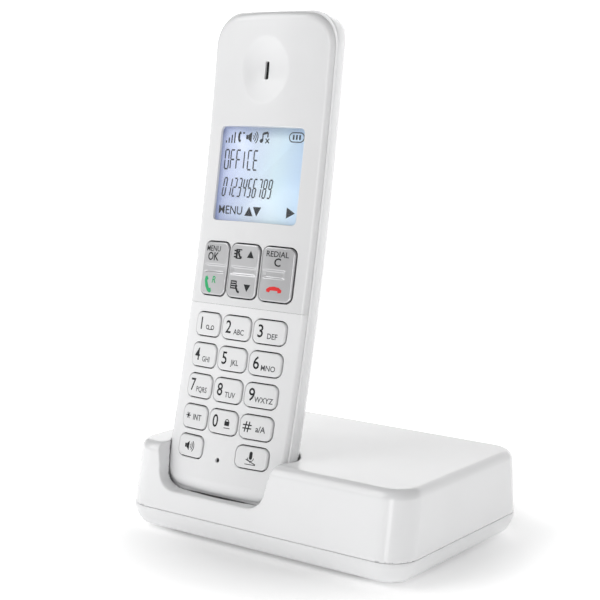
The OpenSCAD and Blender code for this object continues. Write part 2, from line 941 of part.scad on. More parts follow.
module base_tray() {
    color(pale)
        difference() {
            union() {
                difference() {
                    tray_form(0);
                    intersection() {
                        tray_form(-base_wall);
                        translate([-big / 2, -big / 2, foot_h + base_wall])
                            cube([big, big, seam_h]);
                    }
                    translate([-big / 2, -big / 2, seam_h])
                        cube([big, big, 20]);
                }
                for (p = BASE_SCREWS)
                    translate([p[0], p[1], foot_h + 1])
                        cylinder(r = post_r, h = base_board_z - foot_h - 1, $fn = round_fn);
                intersection() {
                    translate([-big / 2, -big / 2, foot_h + 1])
                        cube([big, big, seam_h]);
                    for (side = [-1, 1])
                        at(mid_s)
                            translate([side * contact_x - 2, contact_y - 2.4, -mid_s - contact_foot - 12])
                                cube([4, 4.8, 12]);
                }
            }
            for (p = BASE_SCREWS) {
                translate([p[0], p[1], foot_h - 1])
                    cylinder(d = screw_d + 0.3, h = 10, $fn = round_fn);
                translate([p[0], p[1], foot_h - 1])
                    cylinder(r = head_r + 0.3, h = head_h + 1.4, $fn = round_fn);
            }
        }
}

module foot_places() {
    for (sx = [-1, 1], sy = [-1, 1])
        translate([sx * (base_w / 2 - 18), sy * (base_d / 2 - 10), 0])
            children();
}

module base_feet() {
    color(rubber)
        foot_places()
            cylinder(d = foot_d, h = foot_h, $fn = round_fn);
}

module base_circuit_board() {
    color(green)
        difference() {
            translate([board_x0, -base_d / 2 + 6, base_board_z])
                cube([base_w / 2 - base_wall - 3 - board_x0, base_d - 11.5, board_t]);
            for (p = BASE_SCREWS)
                translate([p[0], p[1], 0])
                    cylinder(d = screw_d + 0.6, h = 20, $fn = round_fn);
        }
}

module base_rf_shield() {
    z = base_board_z + board_t;
    color(nickel)
        difference() {
            translate([16, -16, z])
                cube([24, 20, 2.6]);
            translate([16.4, -15.6, z - 1])
                cube([23.2, 19.2, 3.2]);
        }
}

module base_capacitors() {
    z = base_board_z + board_t;
    color("#33363f")
        for (y = [9, 17])
            translate([43, y, z])
                cylinder(d = 6.3, h = 9, $fn = round_fn);
}

module base_antennas() {
    z = base_board_z + board_t;
    color(nickel)
        for (x = [14, 34])
            union() {
                translate([x, -21, z])
                    cylinder(d = 1, h = 12, $fn = round_fn);
                translate([x - 0.5, -21, z + 11.5])
                    rotate([0, 90, 0])
                        cylinder(d = 1, h = 12, $fn = round_fn);
            }
}

module cradle_contacts() {
    color(nickel)
        for (side = [-1, 1])
            at(mid_s)
                translate([side * contact_x - 1, contact_y, -mid_s])
                    union() {
                        translate([0, -0.25, -contact_foot])
                            cube([2, 0.5, contact_foot - 0.5]);
                        translate([0, 0, -1.3])
                            rotate([0, 90, 0])
                                cylinder(r = 1, h = 2, $fn = round_fn);
                        translate([0, -2.4, -contact_foot])
                            cube([2, 4.8, 0.5]);
                    }
}

module line_jack() {
    depth = 13;
    face_y = back_in(jack_z + 5) - 0.3;
    color("#e9e6da")
        difference() {
            translate([line_x - 6.6, face_y - depth, base_board_z + board_t])
                cube([13.2, depth, jack_z + 5.2 - base_board_z - board_t]);
            translate([line_x - 4.9, face_y - depth + 1.5, jack_z - 3.3])
                cube([9.8, depth, 6.6]);
            translate([line_x - 2, face_y - depth + 1.5, jack_z + 3])
                cube([4, depth, 1.4]);
        }
}

module power_jack() {
    depth = 11;
    face_y = back_in(jack_z + 5) - 0.3;
    color(black)
        union() {
            difference() {
                translate([power_x - 4.8, face_y - depth, base_board_z + board_t])
                    cube([9.6, depth, jack_z + 4.8 - base_board_z - board_t]);
                translate([power_x, face_y - depth + 1.5, jack_z])
                    rotate([-90, 0, 0])
                        cylinder(d = 5.6, h = depth, $fn = round_fn);
            }
            translate([power_x, face_y - depth + 1.2, jack_z])
                rotate([-90, 0, 0])
                    cylinder(d = 1.7, h = depth - 2.6, $fn = round_fn);
        }
}

page_travel = 0.8;
module page_key() {
    y1 = wall_y - back_lean * (page_z - seam_h) / (base_h - seam_h) + 0.2;
    y0 = y1 - base_wall - 1.2;
    color(silver)
        translate([page_x, 0, page_z])
            rotate([-90, 0, 0])
                union() {
                    translate([0, 0, y0])
                        cylinder(r = page_r, h = y1 - y0, $fn = round_fn);
                    translate([0, 0, y0 - 0.8])
                        cylinder(r = page_r + 1, h = 0.8, $fn = round_fn);
                    translate([0, 0, y0 - 3])
                        cylinder(r = 1.5, h = 3, $fn = round_fn);
                }
}

module page_switch() {
    y1 = wall_y - base_wall - 6.9;
    color(black)
        union() {
            translate([page_x - 3, y1 - 4, page_z - 3])
                cube([6, 4, 6]);
            translate([page_x, y1 - eps, page_z])
                rotate([-90, 0, 0])
                    cylinder(r = 1.6, h = 0.5, $fn = round_fn);
            translate([page_x - 2, y1 - 3.4, foot_h + base_wall - eps])
                cube([4, 2, page_z - 3 - foot_h - base_wall + 2 * eps]);
        }
}

module base_screws() {
    color("#9a9a9a")
        for (p = BASE_SCREWS)
            translate([p[0], p[1], foot_h + 0.4])
                difference() {
                    union() {
                        cylinder(d = screw_d, h = 14, $fn = round_fn);
                        cylinder(r = head_r, h = head_h, $fn = round_fn);
                    }
                    for (turn = [0, 90])
                        rotate([0, 0, turn])
                            cube([2.4, 0.5, 1.2], center = true);
                }
}

keypad_cover();
face_panel();
display_window();
lcd_module();
lcd_backlight();
earpiece_speaker();
earpiece_felt();
number_key("key_1");  // key_1
number_key("key_2");  // key_2
number_key("key_3");  // key_3
number_key("key_4");  // key_4
number_key("key_5");  // key_5
number_key("key_6");  // key_6
number_key("key_7");  // key_7
number_key("key_8");  // key_8
number_key("key_9");  // key_9
number_key("key_star");  // key_star
number_key("key_0");  // key_0
number_key("key_hash");  // key_hash
number_key("key_speaker");  // key_speaker
number_key("key_mute");  // key_mute
rocker_key("rocker_menu_talk");  // rocker_menu_talk
rocker_key("rocker_up_down");  // rocker_up_down
rocker_key("rocker_redial_end");  // rocker_redial_end
keypad_mat();
handset_circuit_board();
handset_rf_shield();
microphone();
ringer_speaker();
handset_back_cover();
battery_door();
battery_cell_left();
battery_cell_right();
battery_springs();
battery_plates();
handset_charge_contacts();
handset_screws();
base_cover();
base_tray();
base_feet();
base_circuit_board();
base_rf_shield();
base_capacitors();
base_antennas();
cradle_contacts();
line_jack();
power_jack();
page_key();
page_switch();
base_screws();
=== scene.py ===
import math
import bpy
import bmesh
import numpy as np
from mathutils import Matrix, Vector
from mathutils.geometry import delaunay_2d_cdt


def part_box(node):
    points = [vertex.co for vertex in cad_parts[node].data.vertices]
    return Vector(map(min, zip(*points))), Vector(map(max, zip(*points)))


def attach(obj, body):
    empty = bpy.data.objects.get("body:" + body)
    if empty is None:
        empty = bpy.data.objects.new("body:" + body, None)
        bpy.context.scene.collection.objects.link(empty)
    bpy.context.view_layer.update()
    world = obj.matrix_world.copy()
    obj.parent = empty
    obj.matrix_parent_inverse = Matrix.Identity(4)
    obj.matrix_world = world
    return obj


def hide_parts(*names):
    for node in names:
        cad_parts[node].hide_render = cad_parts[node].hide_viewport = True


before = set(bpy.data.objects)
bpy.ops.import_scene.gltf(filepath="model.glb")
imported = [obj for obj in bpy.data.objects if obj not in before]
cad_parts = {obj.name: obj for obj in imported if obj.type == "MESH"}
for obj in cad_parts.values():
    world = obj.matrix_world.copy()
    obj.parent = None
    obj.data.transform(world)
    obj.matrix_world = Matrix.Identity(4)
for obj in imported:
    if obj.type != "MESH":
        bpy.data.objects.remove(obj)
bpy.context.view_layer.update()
print("frame loaded")

# the handset's place and section, in millimetres, as the frame has them
handset = dict(x=-18.9, y=-36.3, z=14.6, lean=14.5, bow=1000.0, length=158.8, width=49.6, thick=24.4,
               crown=73.0, backCrown=27.69, rim=0.8, seam=5.0, topRound=11.0, footRound=8.5,
               backSide=10.0, sideD=6.4, topEnd=9.0, heel=7.0)
half = handset["length"] / 2
leanMid = math.radians(handset["lean"]) - half / handset["bow"]
bowY = handset["y"] - handset["bow"] * math.cos(math.radians(handset["lean"]))
bowZ = handset["z"] + handset["bow"] * math.sin(math.radians(handset["lean"]))


# a place on the handset: u across, s up from the lower end, d into it, to metres in the frame
def spot(u, s, d):
    u, s, d = np.broadcast_arrays(*[np.asarray(a, float) for a in (u, s, d)])
    v = s - half
    deep = np.sqrt((handset["bow"] + d) ** 2 - v ** 2)
    y = bowY + deep * math.cos(leanMid) + v * math.sin(leanMid)
    z = bowZ - deep * math.sin(leanMid) + v * math.cos(leanMid)
    return np.stack([handset["x"] + u, y, z], -1) * 0.001


# sets a node's inputs from a dictionary of their names
def setInputs(node, values):
    for key, value in values.items():
        node.inputs[key].default_value = value


def addNode(owner, kind, values=None):
    node = owner.node_tree.nodes.new("ShaderNode" + kind)
    setInputs(node, values or {})
    return node


def join(owner, source, output, target, socket):
    owner.node_tree.links.new(source.outputs[output], target.inputs[socket])


# a new material with its shader and the coordinates that its noises start from
def startLook(name, values):
    mat = bpy.data.materials.new(name)
    mat.use_nodes = True
    shader = mat.node_tree.nodes["Principled BSDF"]
    setInputs(shader, values)
    return mat, shader, addNode(mat, "TexCoord")


# puts colour stops, lowest first, on a ramp that starts with two
def fillRamp(node, stops):
    ramp = node.color_ramp.elements
    for stop, (at, color) in ((ramp[0], stops[0]), (ramp[-1], stops[-1])):
        stop.position = at
        stop.color = (*color, 1)
    for at, color in stops[1:-1]:
        ramp.new(at).color = (*color, 1)


def addNoise(mat, coords, values):
    noise = addNode(mat, "TexNoise", values)
    join(mat, coords, "Object", noise, "Vector")
    return noise


surface = dict(ior=1.46, cloudScale=35.0, cloudLow=0.35, cloudHigh=0.65, roughSpread=0.12, bumpHeight=0.00005)


# a plastic or metal: its tint drifts slightly, its gloss varies and it has a fine grain
def finish(name, color, rough, **more):
    mat, shader, coords = startLook(name, {
        "Metallic": more.get("metal", 0.0), "Coat Weight": more.get("coat", 0.0),
        "Coat Roughness": more.get("coatRough", 0.08), "IOR": surface["ior"]})
    cloud = addNoise(mat, coords, {"Scale": surface["cloudScale"], "Detail": 3.0})
    tint = addNode(mat, "ValToRGB")
    spread = more.get("spread", 0.012)
    fillRamp(tint, [(surface["cloudLow"], [max(0.0, c * (1 - spread)) for c in color]),
                    (surface["cloudHigh"], [min(1.0, c * (1 + spread)) for c in color])])
    join(mat, cloud, "Fac", tint, "Fac")
    join(mat, tint, "Color", shader, "Base Color")
    speck = addNoise(mat, coords, {"Scale": more.get("grainScale", 2600.0), "Detail": 2.0})
    gloss = addNode(mat, "MapRange", {"To Min": rough * (1 - surface["roughSpread"]),
                                      "To Max": rough * (1 + surface["roughSpread"])})
    join(mat, speck, "Fac", gloss, "Value")
    join(mat, gloss, "Result", shader, "Roughness")
    bump = addNode(mat, "Bump", {"Strength": more.get("grain", 0.03), "Distance": surface["bumpHeight"]})
    join(mat, speck, "Fac", bump, "Height")
    join(mat, bump, "Normal", shader, "Normal")
    return mat


looks = {
    "glossWhite": finish("glossWhite", (0.83, 0.832, 0.838), 0.2, coat=0.35, grain=0.02),
    "panelWhite": finish("panelWhite", (0.735, 0.737, 0.743), 0.24, coat=0.3, coatRough=0.2, grain=0.015),
    "keypadWhite": finish("keypadWhite", (0.80, 0.802, 0.808), 0.32, coat=0.1, coatRough=0.2, grain=0.05),
    "trayWhite": finish("trayWhite", (0.82, 0.822, 0.828), 0.3, grain=0.08),
    "keyWhite": finish("keyWhite", (0.77, 0.772, 0.778), 0.36, grain=0.1),
    "keySilver": finish("keySilver", (0.58, 0.58, 0.59), 0.34, metal=0.88, coat=0.15, grain=0.06),
    "blackPlastic": finish("blackPlastic", (0.02, 0.02, 0.022), 0.45, grain=0.2),
    # painted shade: near-black for the sheet that darkens the gaps between the keys
    "paintedGapShade": finish("paintedGapShade", (0.012, 0.012, 0.013), 0.9, grain=0.2),
    "felt": finish("felt", (0.006, 0.006, 0.007), 0.98, grain=0.8, grainScale=5200.0, spread=0.3),
    "greyRubber": finish("greyRubber", (0.24, 0.24, 0.25), 0.7, grain=0.3),
    "solderMask": finish("solderMask", (0.02, 0.13, 0.06), 0.35, coat=0.4, spread=0.2),
    "nickel": finish("nickel", (0.66, 0.64, 0.6), 0.24, metal=1.0, grain=0.1),
    "screwSteel": finish("screwSteel", (0.5, 0.5, 0.51), 0.34, metal=1.0, grain=0.2),
    "cellSleeve": finish("cellSleeve", (0.1, 0.3, 0.12), 0.3, coat=0.4, spread=0.08),
    "darkSleeve": finish("darkSleeve", (0.03, 0.035, 0.05), 0.35),
    "ivorySocket": finish("ivorySocket", (0.74, 0.71, 0.62), 0.45, grain=0.15),
    "ink": finish("ink", (0.012, 0.013, 0.015), 0.7),
    "paleInk": finish("paleInk", (0.06, 0.062, 0.068), 0.55),
    "greenInk": finish("greenInk", (0.01, 0.38, 0.13), 0.5),
    "redInk": finish("redInk", (0.72, 0.02, 0.02), 0.5),
    "segmentInk": finish("segmentInk", (0.004, 0.005, 0.008), 0.8),
    "milkyGuide": finish("milkyGuide", (0.85, 0.9, 0.95), 0.4),
}
print("finishes ready")


def addObject(name, data):
    thing = bpy.data.objects.new(name, data)
    bpy.context.scene.collection.objects.link(thing)
    return thing


# every piece is made here: its mesh, its look and the body that it rides
def addPiece(name, verts, faces, body, look, slotName, smooth=True):
    mesh = bpy.data.meshes.new(name)
    mesh.from_pydata([tuple(v) for v in verts], [], [tuple(f) for f in faces])
    mesh.validate()
    if smooth:
        mesh.polygons.foreach_set("use_smooth", [True] * len(mesh.polygons))
    mesh.materials.append(looks[look])
    mesh.update()
    piece = addObject(name, mesh)
    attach(piece, body)
    return piece


def reworkMesh(piece, work):
    bm = bmesh.new()
    bm.from_mesh(piece.data)
    work(bm)
    bm.to_mesh(piece.data)
    bm.free()


# faces round a stack of rings with the same count, and one across each end
def tubeFaces(count, rings):
    faces = []
    for k in range(rings - 1):
        for i in range(count):
            j = (i + 1) % count
            faces.append((k * count + i, k * count + j, (k + 1) * count + j, (k + 1) * count + i))
    faces.append(tuple(range(count))[::-1])
    faces.append(tuple(range((rings - 1) * count, rings * count)))
    return faces


def weighNormals(piece, angle):
    piece.data.set_sharp_from_angle(angle=math.radians(angle))
    weigh = piece.modifiers.new("evenShade", "WEIGHTED_NORMAL")
    weigh.keep_sharp = True
    weigh.weight = 80


# rounded rectangle as a loop of (point, outward direction), anticlockwise
def roundLoop(x0, x1, y0, y1, lowR, topR=None, arc=6, step=3.0):
    topR = lowR if topR is None else topR
    corners = [(x1 - lowR, y0 + lowR, lowR, -90), (x1 - topR, y1 - topR, topR, 0),
               (x0 + topR, y1 - topR, topR, 90), (x0 + lowR, y0 + lowR, lowR, 180)]
    points = []
    for cx, cy, r, start in corners:
        for i in range(arc + 1):
            a = math.radians(start + 90 * i / arc)
            points.append((cx + r * math.cos(a), cy + r * math.sin(a), math.cos(a), math.sin(a)))
    full = []
    for i, p in enumerate(points):
        full.append(p)
        q = points[(i + 1) % len(points)]
        gap = math.hypot(q[0] - p[0], q[1] - p[1])
        if i % (arc + 1) == arc and gap > step:
            count = int(gap / step) + 1
            for k in range(1, count):
                t = k / count
                full.append((p[0] + (q[0] - p[0]) * t, p[1] + (q[1] - p[1]) * t, p[2], p[3]))
    loop = np.array(full)
    return loop[:, :2], loop[:, 2:]


def circleLoop(cx, cy, r, count=32):
    a = np.linspace(0, 2 * np.pi, count, endpoint=False)
    n = np.stack([np.cos(a), np.sin(a)], -1)
    return np.array([cx, cy]) + n * r, n


def insideLoop(points, loop):
    x, y = points[:, 0], points[:, 1]
    hit = np.zeros(len(points), bool)
    for (ax, ay), (bx, by) in zip(loop, np.roll(loop, -1, axis=0)):
        if ay == by:
            continue
        cross = (ay > y) != (by > y)
        hit ^= cross & (x < (bx - ax) * (y - ay) / (by - ay) + ax)
    return hit


def nearLoop(points, loop, reach):
    best = np.full(len(points), 1e9)
    for a, b in zip(loop, np.roll(loop, -1, axis=0)):
        ab = b - a
        t = np.clip(((points - a) @ ab) / max(ab @ ab, 1e-12), 0, 1)
        best = np.minimum(best, np.linalg.norm(points - a - t[:, None] * ab, axis=1))
    return best < reach


# fills the space between an outline and its holes with triangles
def fillFlat(outline, holes, pitch, extra=None):
    low, high = outline.min(0), outline.max(0)
    xs = np.linspace(low[0], high[0], max(2, int((high[0] - low[0]) / pitch) + 2))[1:-1]
    ys = np.linspace(low[1], high[1], max(2, int((high[1] - low[1]) / pitch) + 2))[1:-1]
    seeds = np.array([(x, y) for x in xs for y in ys]) if len(xs) and len(ys) else np.zeros((0, 2))
    if extra is not None and len(extra):
        if len(seeds):
            far = np.linalg.norm(seeds[:, None] - extra[None], axis=2).min(1) > pitch * 0.55
            seeds = seeds[far]
        seeds = np.concatenate([seeds, extra])
    if len(seeds):
        keep = insideLoop(seeds, outline) & ~nearLoop(seeds, outline, min(0.45 * pitch, 1.2))
        for hole in holes:
            keep &= ~insideLoop(seeds, hole) & ~nearLoop(seeds, hole, min(0.45 * pitch, 0.5))
        seeds = seeds[keep]
    loops = [outline] + list(holes)
    coords = np.concatenate(loops + [seeds])
    edges, start = [], 0
    for loop in loops:
        edges += [(start + i, start + (i + 1) % len(loop)) for i in range(len(loop))]
        start += len(loop)
    out = delaunay_2d_cdt([Vector(p) for p in coords], edges, [], 0, 1e-5)
    verts = np.array([(v.x, v.y) for v in out[0]])
    tris = np.array([f for f in out[2]])
    middle = verts[tris].mean(1)
    keep = insideLoop(middle, outline)
    for hole in holes:
        keep &= ~insideLoop(middle, hole)
    tris = tris[keep]
    a, b, c = verts[tris[:, 0]], verts[tris[:, 1]], verts[tris[:, 2]]
    turn = (b[:, 0] - a[:, 0]) * (c[:, 1] - a[:, 1]) - (b[:, 1] - a[:, 1]) * (c[:, 0] - a[:, 0])
    tris[turn < 0] = tris[turn < 0][:, ::-1]
    return verts, tris


# a surface in (across, along, depth) that grows loop by loop
class Skin:
    def __init__(self):
        self.points, self.faces = [], []

    def add(self, u, s, d):
        start = len(self.points)
        self.points += list(zip(np.broadcast_to(u, np.shape(s)), s, np.broadcast_to(d, np.shape(s))))
        return list(range(start, len(self.points)))

    def join(self, one, two, flip=False):
        count = len(one)
        for i in range(count):
            j = (i + 1) % count
            quad = (one[i], one[j], two[j], two[i])
            self.faces.append(quad[::-1] if flip else quad)

    def patch(self, verts, tris, depth, flip=False):
        ids = self.add(verts[:, 0], verts[:, 1], depth)
        self.faces += [tuple(ids[k] for k in (t[::-1] if flip else t)) for t in tris]
        return ids

    # walks a loop through (outward move, deeper) steps, from a rule that gives the depth there
    def rim(self, loop, out, steps, depthAt, flip=False):
        last = None
        for move, deeper in steps:
            p = loop + out * move
            ring = self.add(p[:, 0], p[:, 1], depthAt(p[:, 0], p[:, 1]) + deeper)
            if last:
                self.join(last, ring, flip)
            last = ring
        return last

    # one face across a ring
    def close(self, ring, flip=True):
        self.faces.append(tuple(ring[::-1] if flip else ring))

    def mesh(self, name, body, look, slotName, place=spot, angle=40):
        p = np.array(self.points, float)
        piece = addPiece(name, place(p[:, 0], p[:, 1], p[:, 2]), self.faces, body, look, slotName)
        reworkMesh(piece, lambda bm: bmesh.ops.remove_doubles(bm, verts=bm.verts, dist=weld * 0.001))
        weighNormals(piece, angle)
        return piece


weld = 0.004


# steps that round a top edge over by r and then go straight down
def roundSteps(r, turns, down):
    steps = []
    for k in range(turns + 1):
        a = math.pi / 2 * k / turns
        steps.append((r * (math.sin(a) - 1), r * (1 - math.cos(a))))
    return steps + [(0.0, down)]


# the front of the handset: two covers with openings for the keys, window, earpiece and microphone
front = dict(keyW=11.3, keyH=7.5, lowKeyH=6.9, pitchX=12.6, pitchS=10.2, rowS=55.2, lowRowS=15.0, keyGap=0.38,
             proud=0.45, cornerR=2.1, rockerH=17.4, rockerS=73.7, sideRockerW=11.5, midRockerW=11.7,
             rockerX=12.73, split=62.1, splitGap=0.07, windowW=33.8, windowH=31.0, windowS=105.25, paneD=3.0,
             dishS=139.0, dishR=10.9, dishDeep=1.8, dishReach=14.0, dishSoft=0.09, slotW=1.5, slotL=5.8,
             micS=12.3, micR=0.8, sideEdge=2.6, topEdge=3.0, chinEdge=4.6, openingDeep=2.6, openingR=0.28)
keyNames = (("1", "2", "3"), ("4", "5", "6"), ("7", "8", "9"), ("star", "0", "hash"), ("speaker", None, "mute"))
keyRows = [("key_" + name, column - 1, row) for row, names in enumerate(keyNames)
           for column, name in enumerate(names) if name]
rockers = [("rocker_menu_talk", -front["rockerX"], front["sideRockerW"]),
           ("rocker_up_down", 0.0, front["midRockerW"]),
           ("rocker_redial_end", front["rockerX"], front["sideRockerW"])]


def keyPlace(column, row):
    s = front["rowS"] - row * front["pitchS"] if row < 4 else front["lowRowS"]
    return column * front["pitchX"], s, front["keyH"] if row < 4 else front["lowKeyH"]


def crownDrop(u):
    return handset["crown"] - np.sqrt(handset["crown"] ** 2 - np.asarray(u, float) ** 2)


# depth of the face: the crown, with the ear dish sunk into it
def faceDepth(u, s):
    u, s = np.asarray(u, float), np.asarray(s, float)
    ball = (front["dishR"] ** 2 + front["dishDeep"] ** 2) / (2 * front["dishDeep"])
    r2 = u ** 2 + (s - front["dishS"]) ** 2
    dish = np.sqrt(np.maximum(ball ** 2 - r2, 0)) - (ball - front["dishDeep"])
    crown = crownDrop(u)
    diff = dish - crown
    sunk = 0.5 * (diff + np.sqrt(diff ** 2 + front["dishSoft"] ** 2))
    return crown + sunk * (r2 < front["dishReach"] ** 2)


def box2(x, s, w, h, grow=0.0, r=2.0, arc=5):
    return roundLoop(x - w / 2 - grow, x + w / 2 + grow, s - h / 2 - grow, s + h / 2 + grow, r + grow,
                     arc=arc)


def buildFront():
    skin = Skin()
    wide = handset["width"] / 2 - handset["rim"]
    low, high = handset["rim"], handset["length"] - handset["rim"]
    outer, out = roundLoop(-wide, wide, low, high, handset["footRound"], handset["topRound"], arc=12,
                           step=2.5)
    # the edge's radius runs from the sides' into the ends'
    endR = np.where(outer[:, 1] > half, front["topEdge"], front["chinEdge"])
    edgeR = 1 / (out[:, 0] ** 2 / front["sideEdge"] + out[:, 1] ** 2 / endR)
    slope = np.arcsin(np.abs(outer[:, 0]) / handset["crown"]) * np.abs(out[:, 0])
    inner = outer - out * (edgeR * (1 - np.sin(slope)))[:, None]
    holes, rims = [], []
    for name, column, row in keyRows:
        x, s, h = keyPlace(column, row)
        opening = box2(x, s, front["keyW"], h, front["keyGap"], front["cornerR"])
        rims.append((opening, front["openingR"], front["openingDeep"]))
    for name, x, w in rockers:
        opening = box2(x, front["rockerS"], w, front["rockerH"], front["keyGap"], front["cornerR"])
        rims.append((opening, front["openingR"], front["openingDeep"]))
    windowDeep = front["paneD"] - 0.1
    rims.append((box2(0, front["windowS"], front["windowW"], front["windowH"], 0, 1.5), 0.3, windowDeep))
    rims.append((box2(0, front["dishS"], front["slotW"], front["slotL"], 0, 0.45, arc=4), 0.12, 1.6))
    rims.append((circleLoop(0, front["micS"], front["micR"], 16), 0.1, 1.5))
    for (loop, outward), r, down in rims:
        holes.append(loop + outward * r)
    # rings of points round the holes and over the dish keep the shading even
    extra = [loop + outward * (r + 0.45) for (loop, outward), r, down in rims[:-2]]
    for r in (12.6, 11.8, 11.2, 10.7, 10.2, 9.6, 8.6, 7.2, 5.8, 4.6, 3.6):
        extra.append(circleLoop(0, front["dishS"], r, 56 if r > 8 else 32)[0])
    verts, tris = fillFlat(inner, holes, 2.4, np.concatenate(extra))
    skin.patch(verts, tris, faceDepth(verts[:, 0], verts[:, 1]))
    for (loop, outward), r, down in rims:
        steps = [(r, 0), (r * 0.5, r * 0.13), (r * 0.13, r * 0.5), (0, r), (0, down)]
        skin.rim(loop, outward, steps, faceDepth, flip=True)
        if down == windowDeep:
            # the window's opening ends flat, just under the pane's face
            last = skin.points[-len(loop):]
            skin.points[-len(loop):] = [(u, s, front["paneD"] + 0.05) for u, s, d in last]
    # the outer edge rolls over to the seam
    turns, last = 6, None
    startDeep = crownDrop(inner[:, 0])
    for k in range(turns + 1):
        a = slope + (math.pi / 2 - slope) * k / turns
        move = edgeR * (np.sin(a) - np.sin(slope))
        deep = startDeep + edgeR * (np.cos(slope) - np.cos(a))
        stop = handset["seam"]
        over = deep > stop
        cosStop = np.clip(np.cos(slope) - (stop - startDeep) / edgeR, -1, 1)
        aStop = np.arccos(cosStop)
        move = np.where(over, edgeR * (np.sin(aStop) - np.sin(slope)), move)
        deep = np.minimum(deep, stop)
        p = inner + out * move[:, None]
        ring = skin.add(p[:, 0], p[:, 1], deep)
        if last:
            skin.join(last, ring)
        last = ring
    edge = p
    ring = skin.add(edge[:, 0], edge[:, 1], np.full(len(edge), handset["seam"]))
    skin.join(last, ring)
    tuck = edge - out * 1.2
    end = skin.add(tuck[:, 0], tuck[:, 1], np.full(len(edge), handset["seam"]))
    skin.join(ring, end)
    return skin


# cuts the front in two at the parting line and turns each cut edge inwards
def splitFront(skin, name, body, look, slotName, upper):
    piece = skin.mesh(name, body, look, slotName)
    place = front["split"] + (0.5 if upper else -0.5) * front["splitGap"]
    at = Vector(spot(0.0, place, 0.0))
    leanHere = leanMid - (place - half) / handset["bow"]
    up = Vector((0, math.sin(leanHere), math.cos(leanHere)))
    into = Vector((0, up.z, -up.y))

    def cutAndTurn(bm):
        geom = bm.verts[:] + bm.edges[:] + bm.faces[:]
        cut = bmesh.ops.bisect_plane(bm, geom=geom, plane_co=at, plane_no=up, dist=1e-7,
                                     clear_inner=upper, clear_outer=not upper)
        edges = [e for e in cut["geom_cut"] if isinstance(e, bmesh.types.BMEdge)]
        grown = bmesh.ops.extrude_edge_only(bm, edges=edges)["geom"]
        moved = [v for v in grown if isinstance(v, bmesh.types.BMVert)]
        bmesh.ops.translate(bm, vec=into * 0.0012, verts=moved)
        bm.normal_update()
    reworkMesh(piece, cutAndTurn)
    piece.data.set_sharp_from_angle(angle=math.radians(40))
    return piece


frontSkin = buildFront()
keypadCover = splitFront(frontSkin, "keypadCoverShell", "handset", "keypadWhite", "white_shell", False)
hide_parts("keypad_cover")
facePanel = splitFront(frontSkin, "facePanelShell", "handset", "panelWhite", "pale_panel", True)
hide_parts("face_panel")
print("front covers built")


# the handset's back: the depth of its crown, then of its rounded sides and ends
def backCrown(u):
    sunk = handset["backCrown"] - np.sqrt(handset["backCrown"] ** 2 - np.asarray(u, float) ** 2)
    return handset["thick"] - sunk


def backRound(nu, ns, s):
    end = np.where(s > half, handset["topEnd"], handset["heel"])
    return 1 / np.maximum(nu ** 2 / handset["backSide"] + ns ** 2 / end, 1e-9)


# where the back's edge rounding ends and its centre lies, for outline points
def backArc(u, nu, ns, s):
    r = backRound(nu, ns, s)
    lean = np.arcsin(np.clip(np.abs(u - nu * r) / (handset["backCrown"] - handset["backSide"]), 0, 0.95))
    turn = math.pi / 2 - lean * np.abs(nu)
    edgeU = u - nu * r * (1 - np.cos(turn))
    return r, turn, backCrown(edgeU) - r * np.sin(turn)


# depth of the back at a place, from its distance to the outline
def backDepth(u, s):
    u, s = np.asarray(u, float), np.asarray(s, float)
    wide = handset["width"] / 2
    r = np.where(s > half, handset["topRound"], handset["footRound"])
    qx = np.abs(u) - (wide - r)
    qy = np.abs(s - half) - (half - r)
    corner = (qx > 0) & (qy > 0)
    reach = np.hypot(np.maximum(qx, 0), np.maximum(qy, 0))
    sign = np.where(s > half, 1.0, -1.0)

    def arcDepth(edgeU, inset, nu, ns):
        radius, turn, centre = backArc(edgeU, nu, ns, s)
        x = np.clip(1 - inset / radius, -1, 1)
        arc = centre + radius * np.sqrt(np.maximum(0, 1 - x ** 2))
        return np.where(inset < radius * (1 - np.cos(turn)), np.minimum(arc, backCrown(u) + 5), backCrown(u))

    side = arcDepth(np.sign(u + 1e-9) * wide, wide - np.abs(u), np.sign(u + 1e-9), 0.0 * u)
    end = arcDepth(u, half - np.abs(s - half), 0.0 * u, sign)
    safe = np.maximum(reach, 1e-6)
    nu, ns = np.sign(u + 1e-9) * np.maximum(qx, 0) / safe, sign * np.maximum(qy, 0) / safe
    atCorner = arcDepth(u + nu * (r - reach), r - reach, nu, ns)
    return np.where(corner, atCorner, np.minimum(side, end))


back = dict(doorW=27.2, doorH=58.5, doorS=59.5, doorR=3.0, doorGap=0.3, doorT=1.8, bayW=22.4, bayH=49.5,
            bayD=11.3, ringerS=118.0, slotPitch=2.8, slotH=1.2, slotW=13, slotLess=1.6, slotDeep=1.7,
            screwHoleR=2.3, screwDeep=3.4, rimR=0.15, roundShare=0.62)
screwSpots = [(-15.0, 147.5), (15.0, 147.5), (-14.5, 7.6), (14.5, 7.6)]


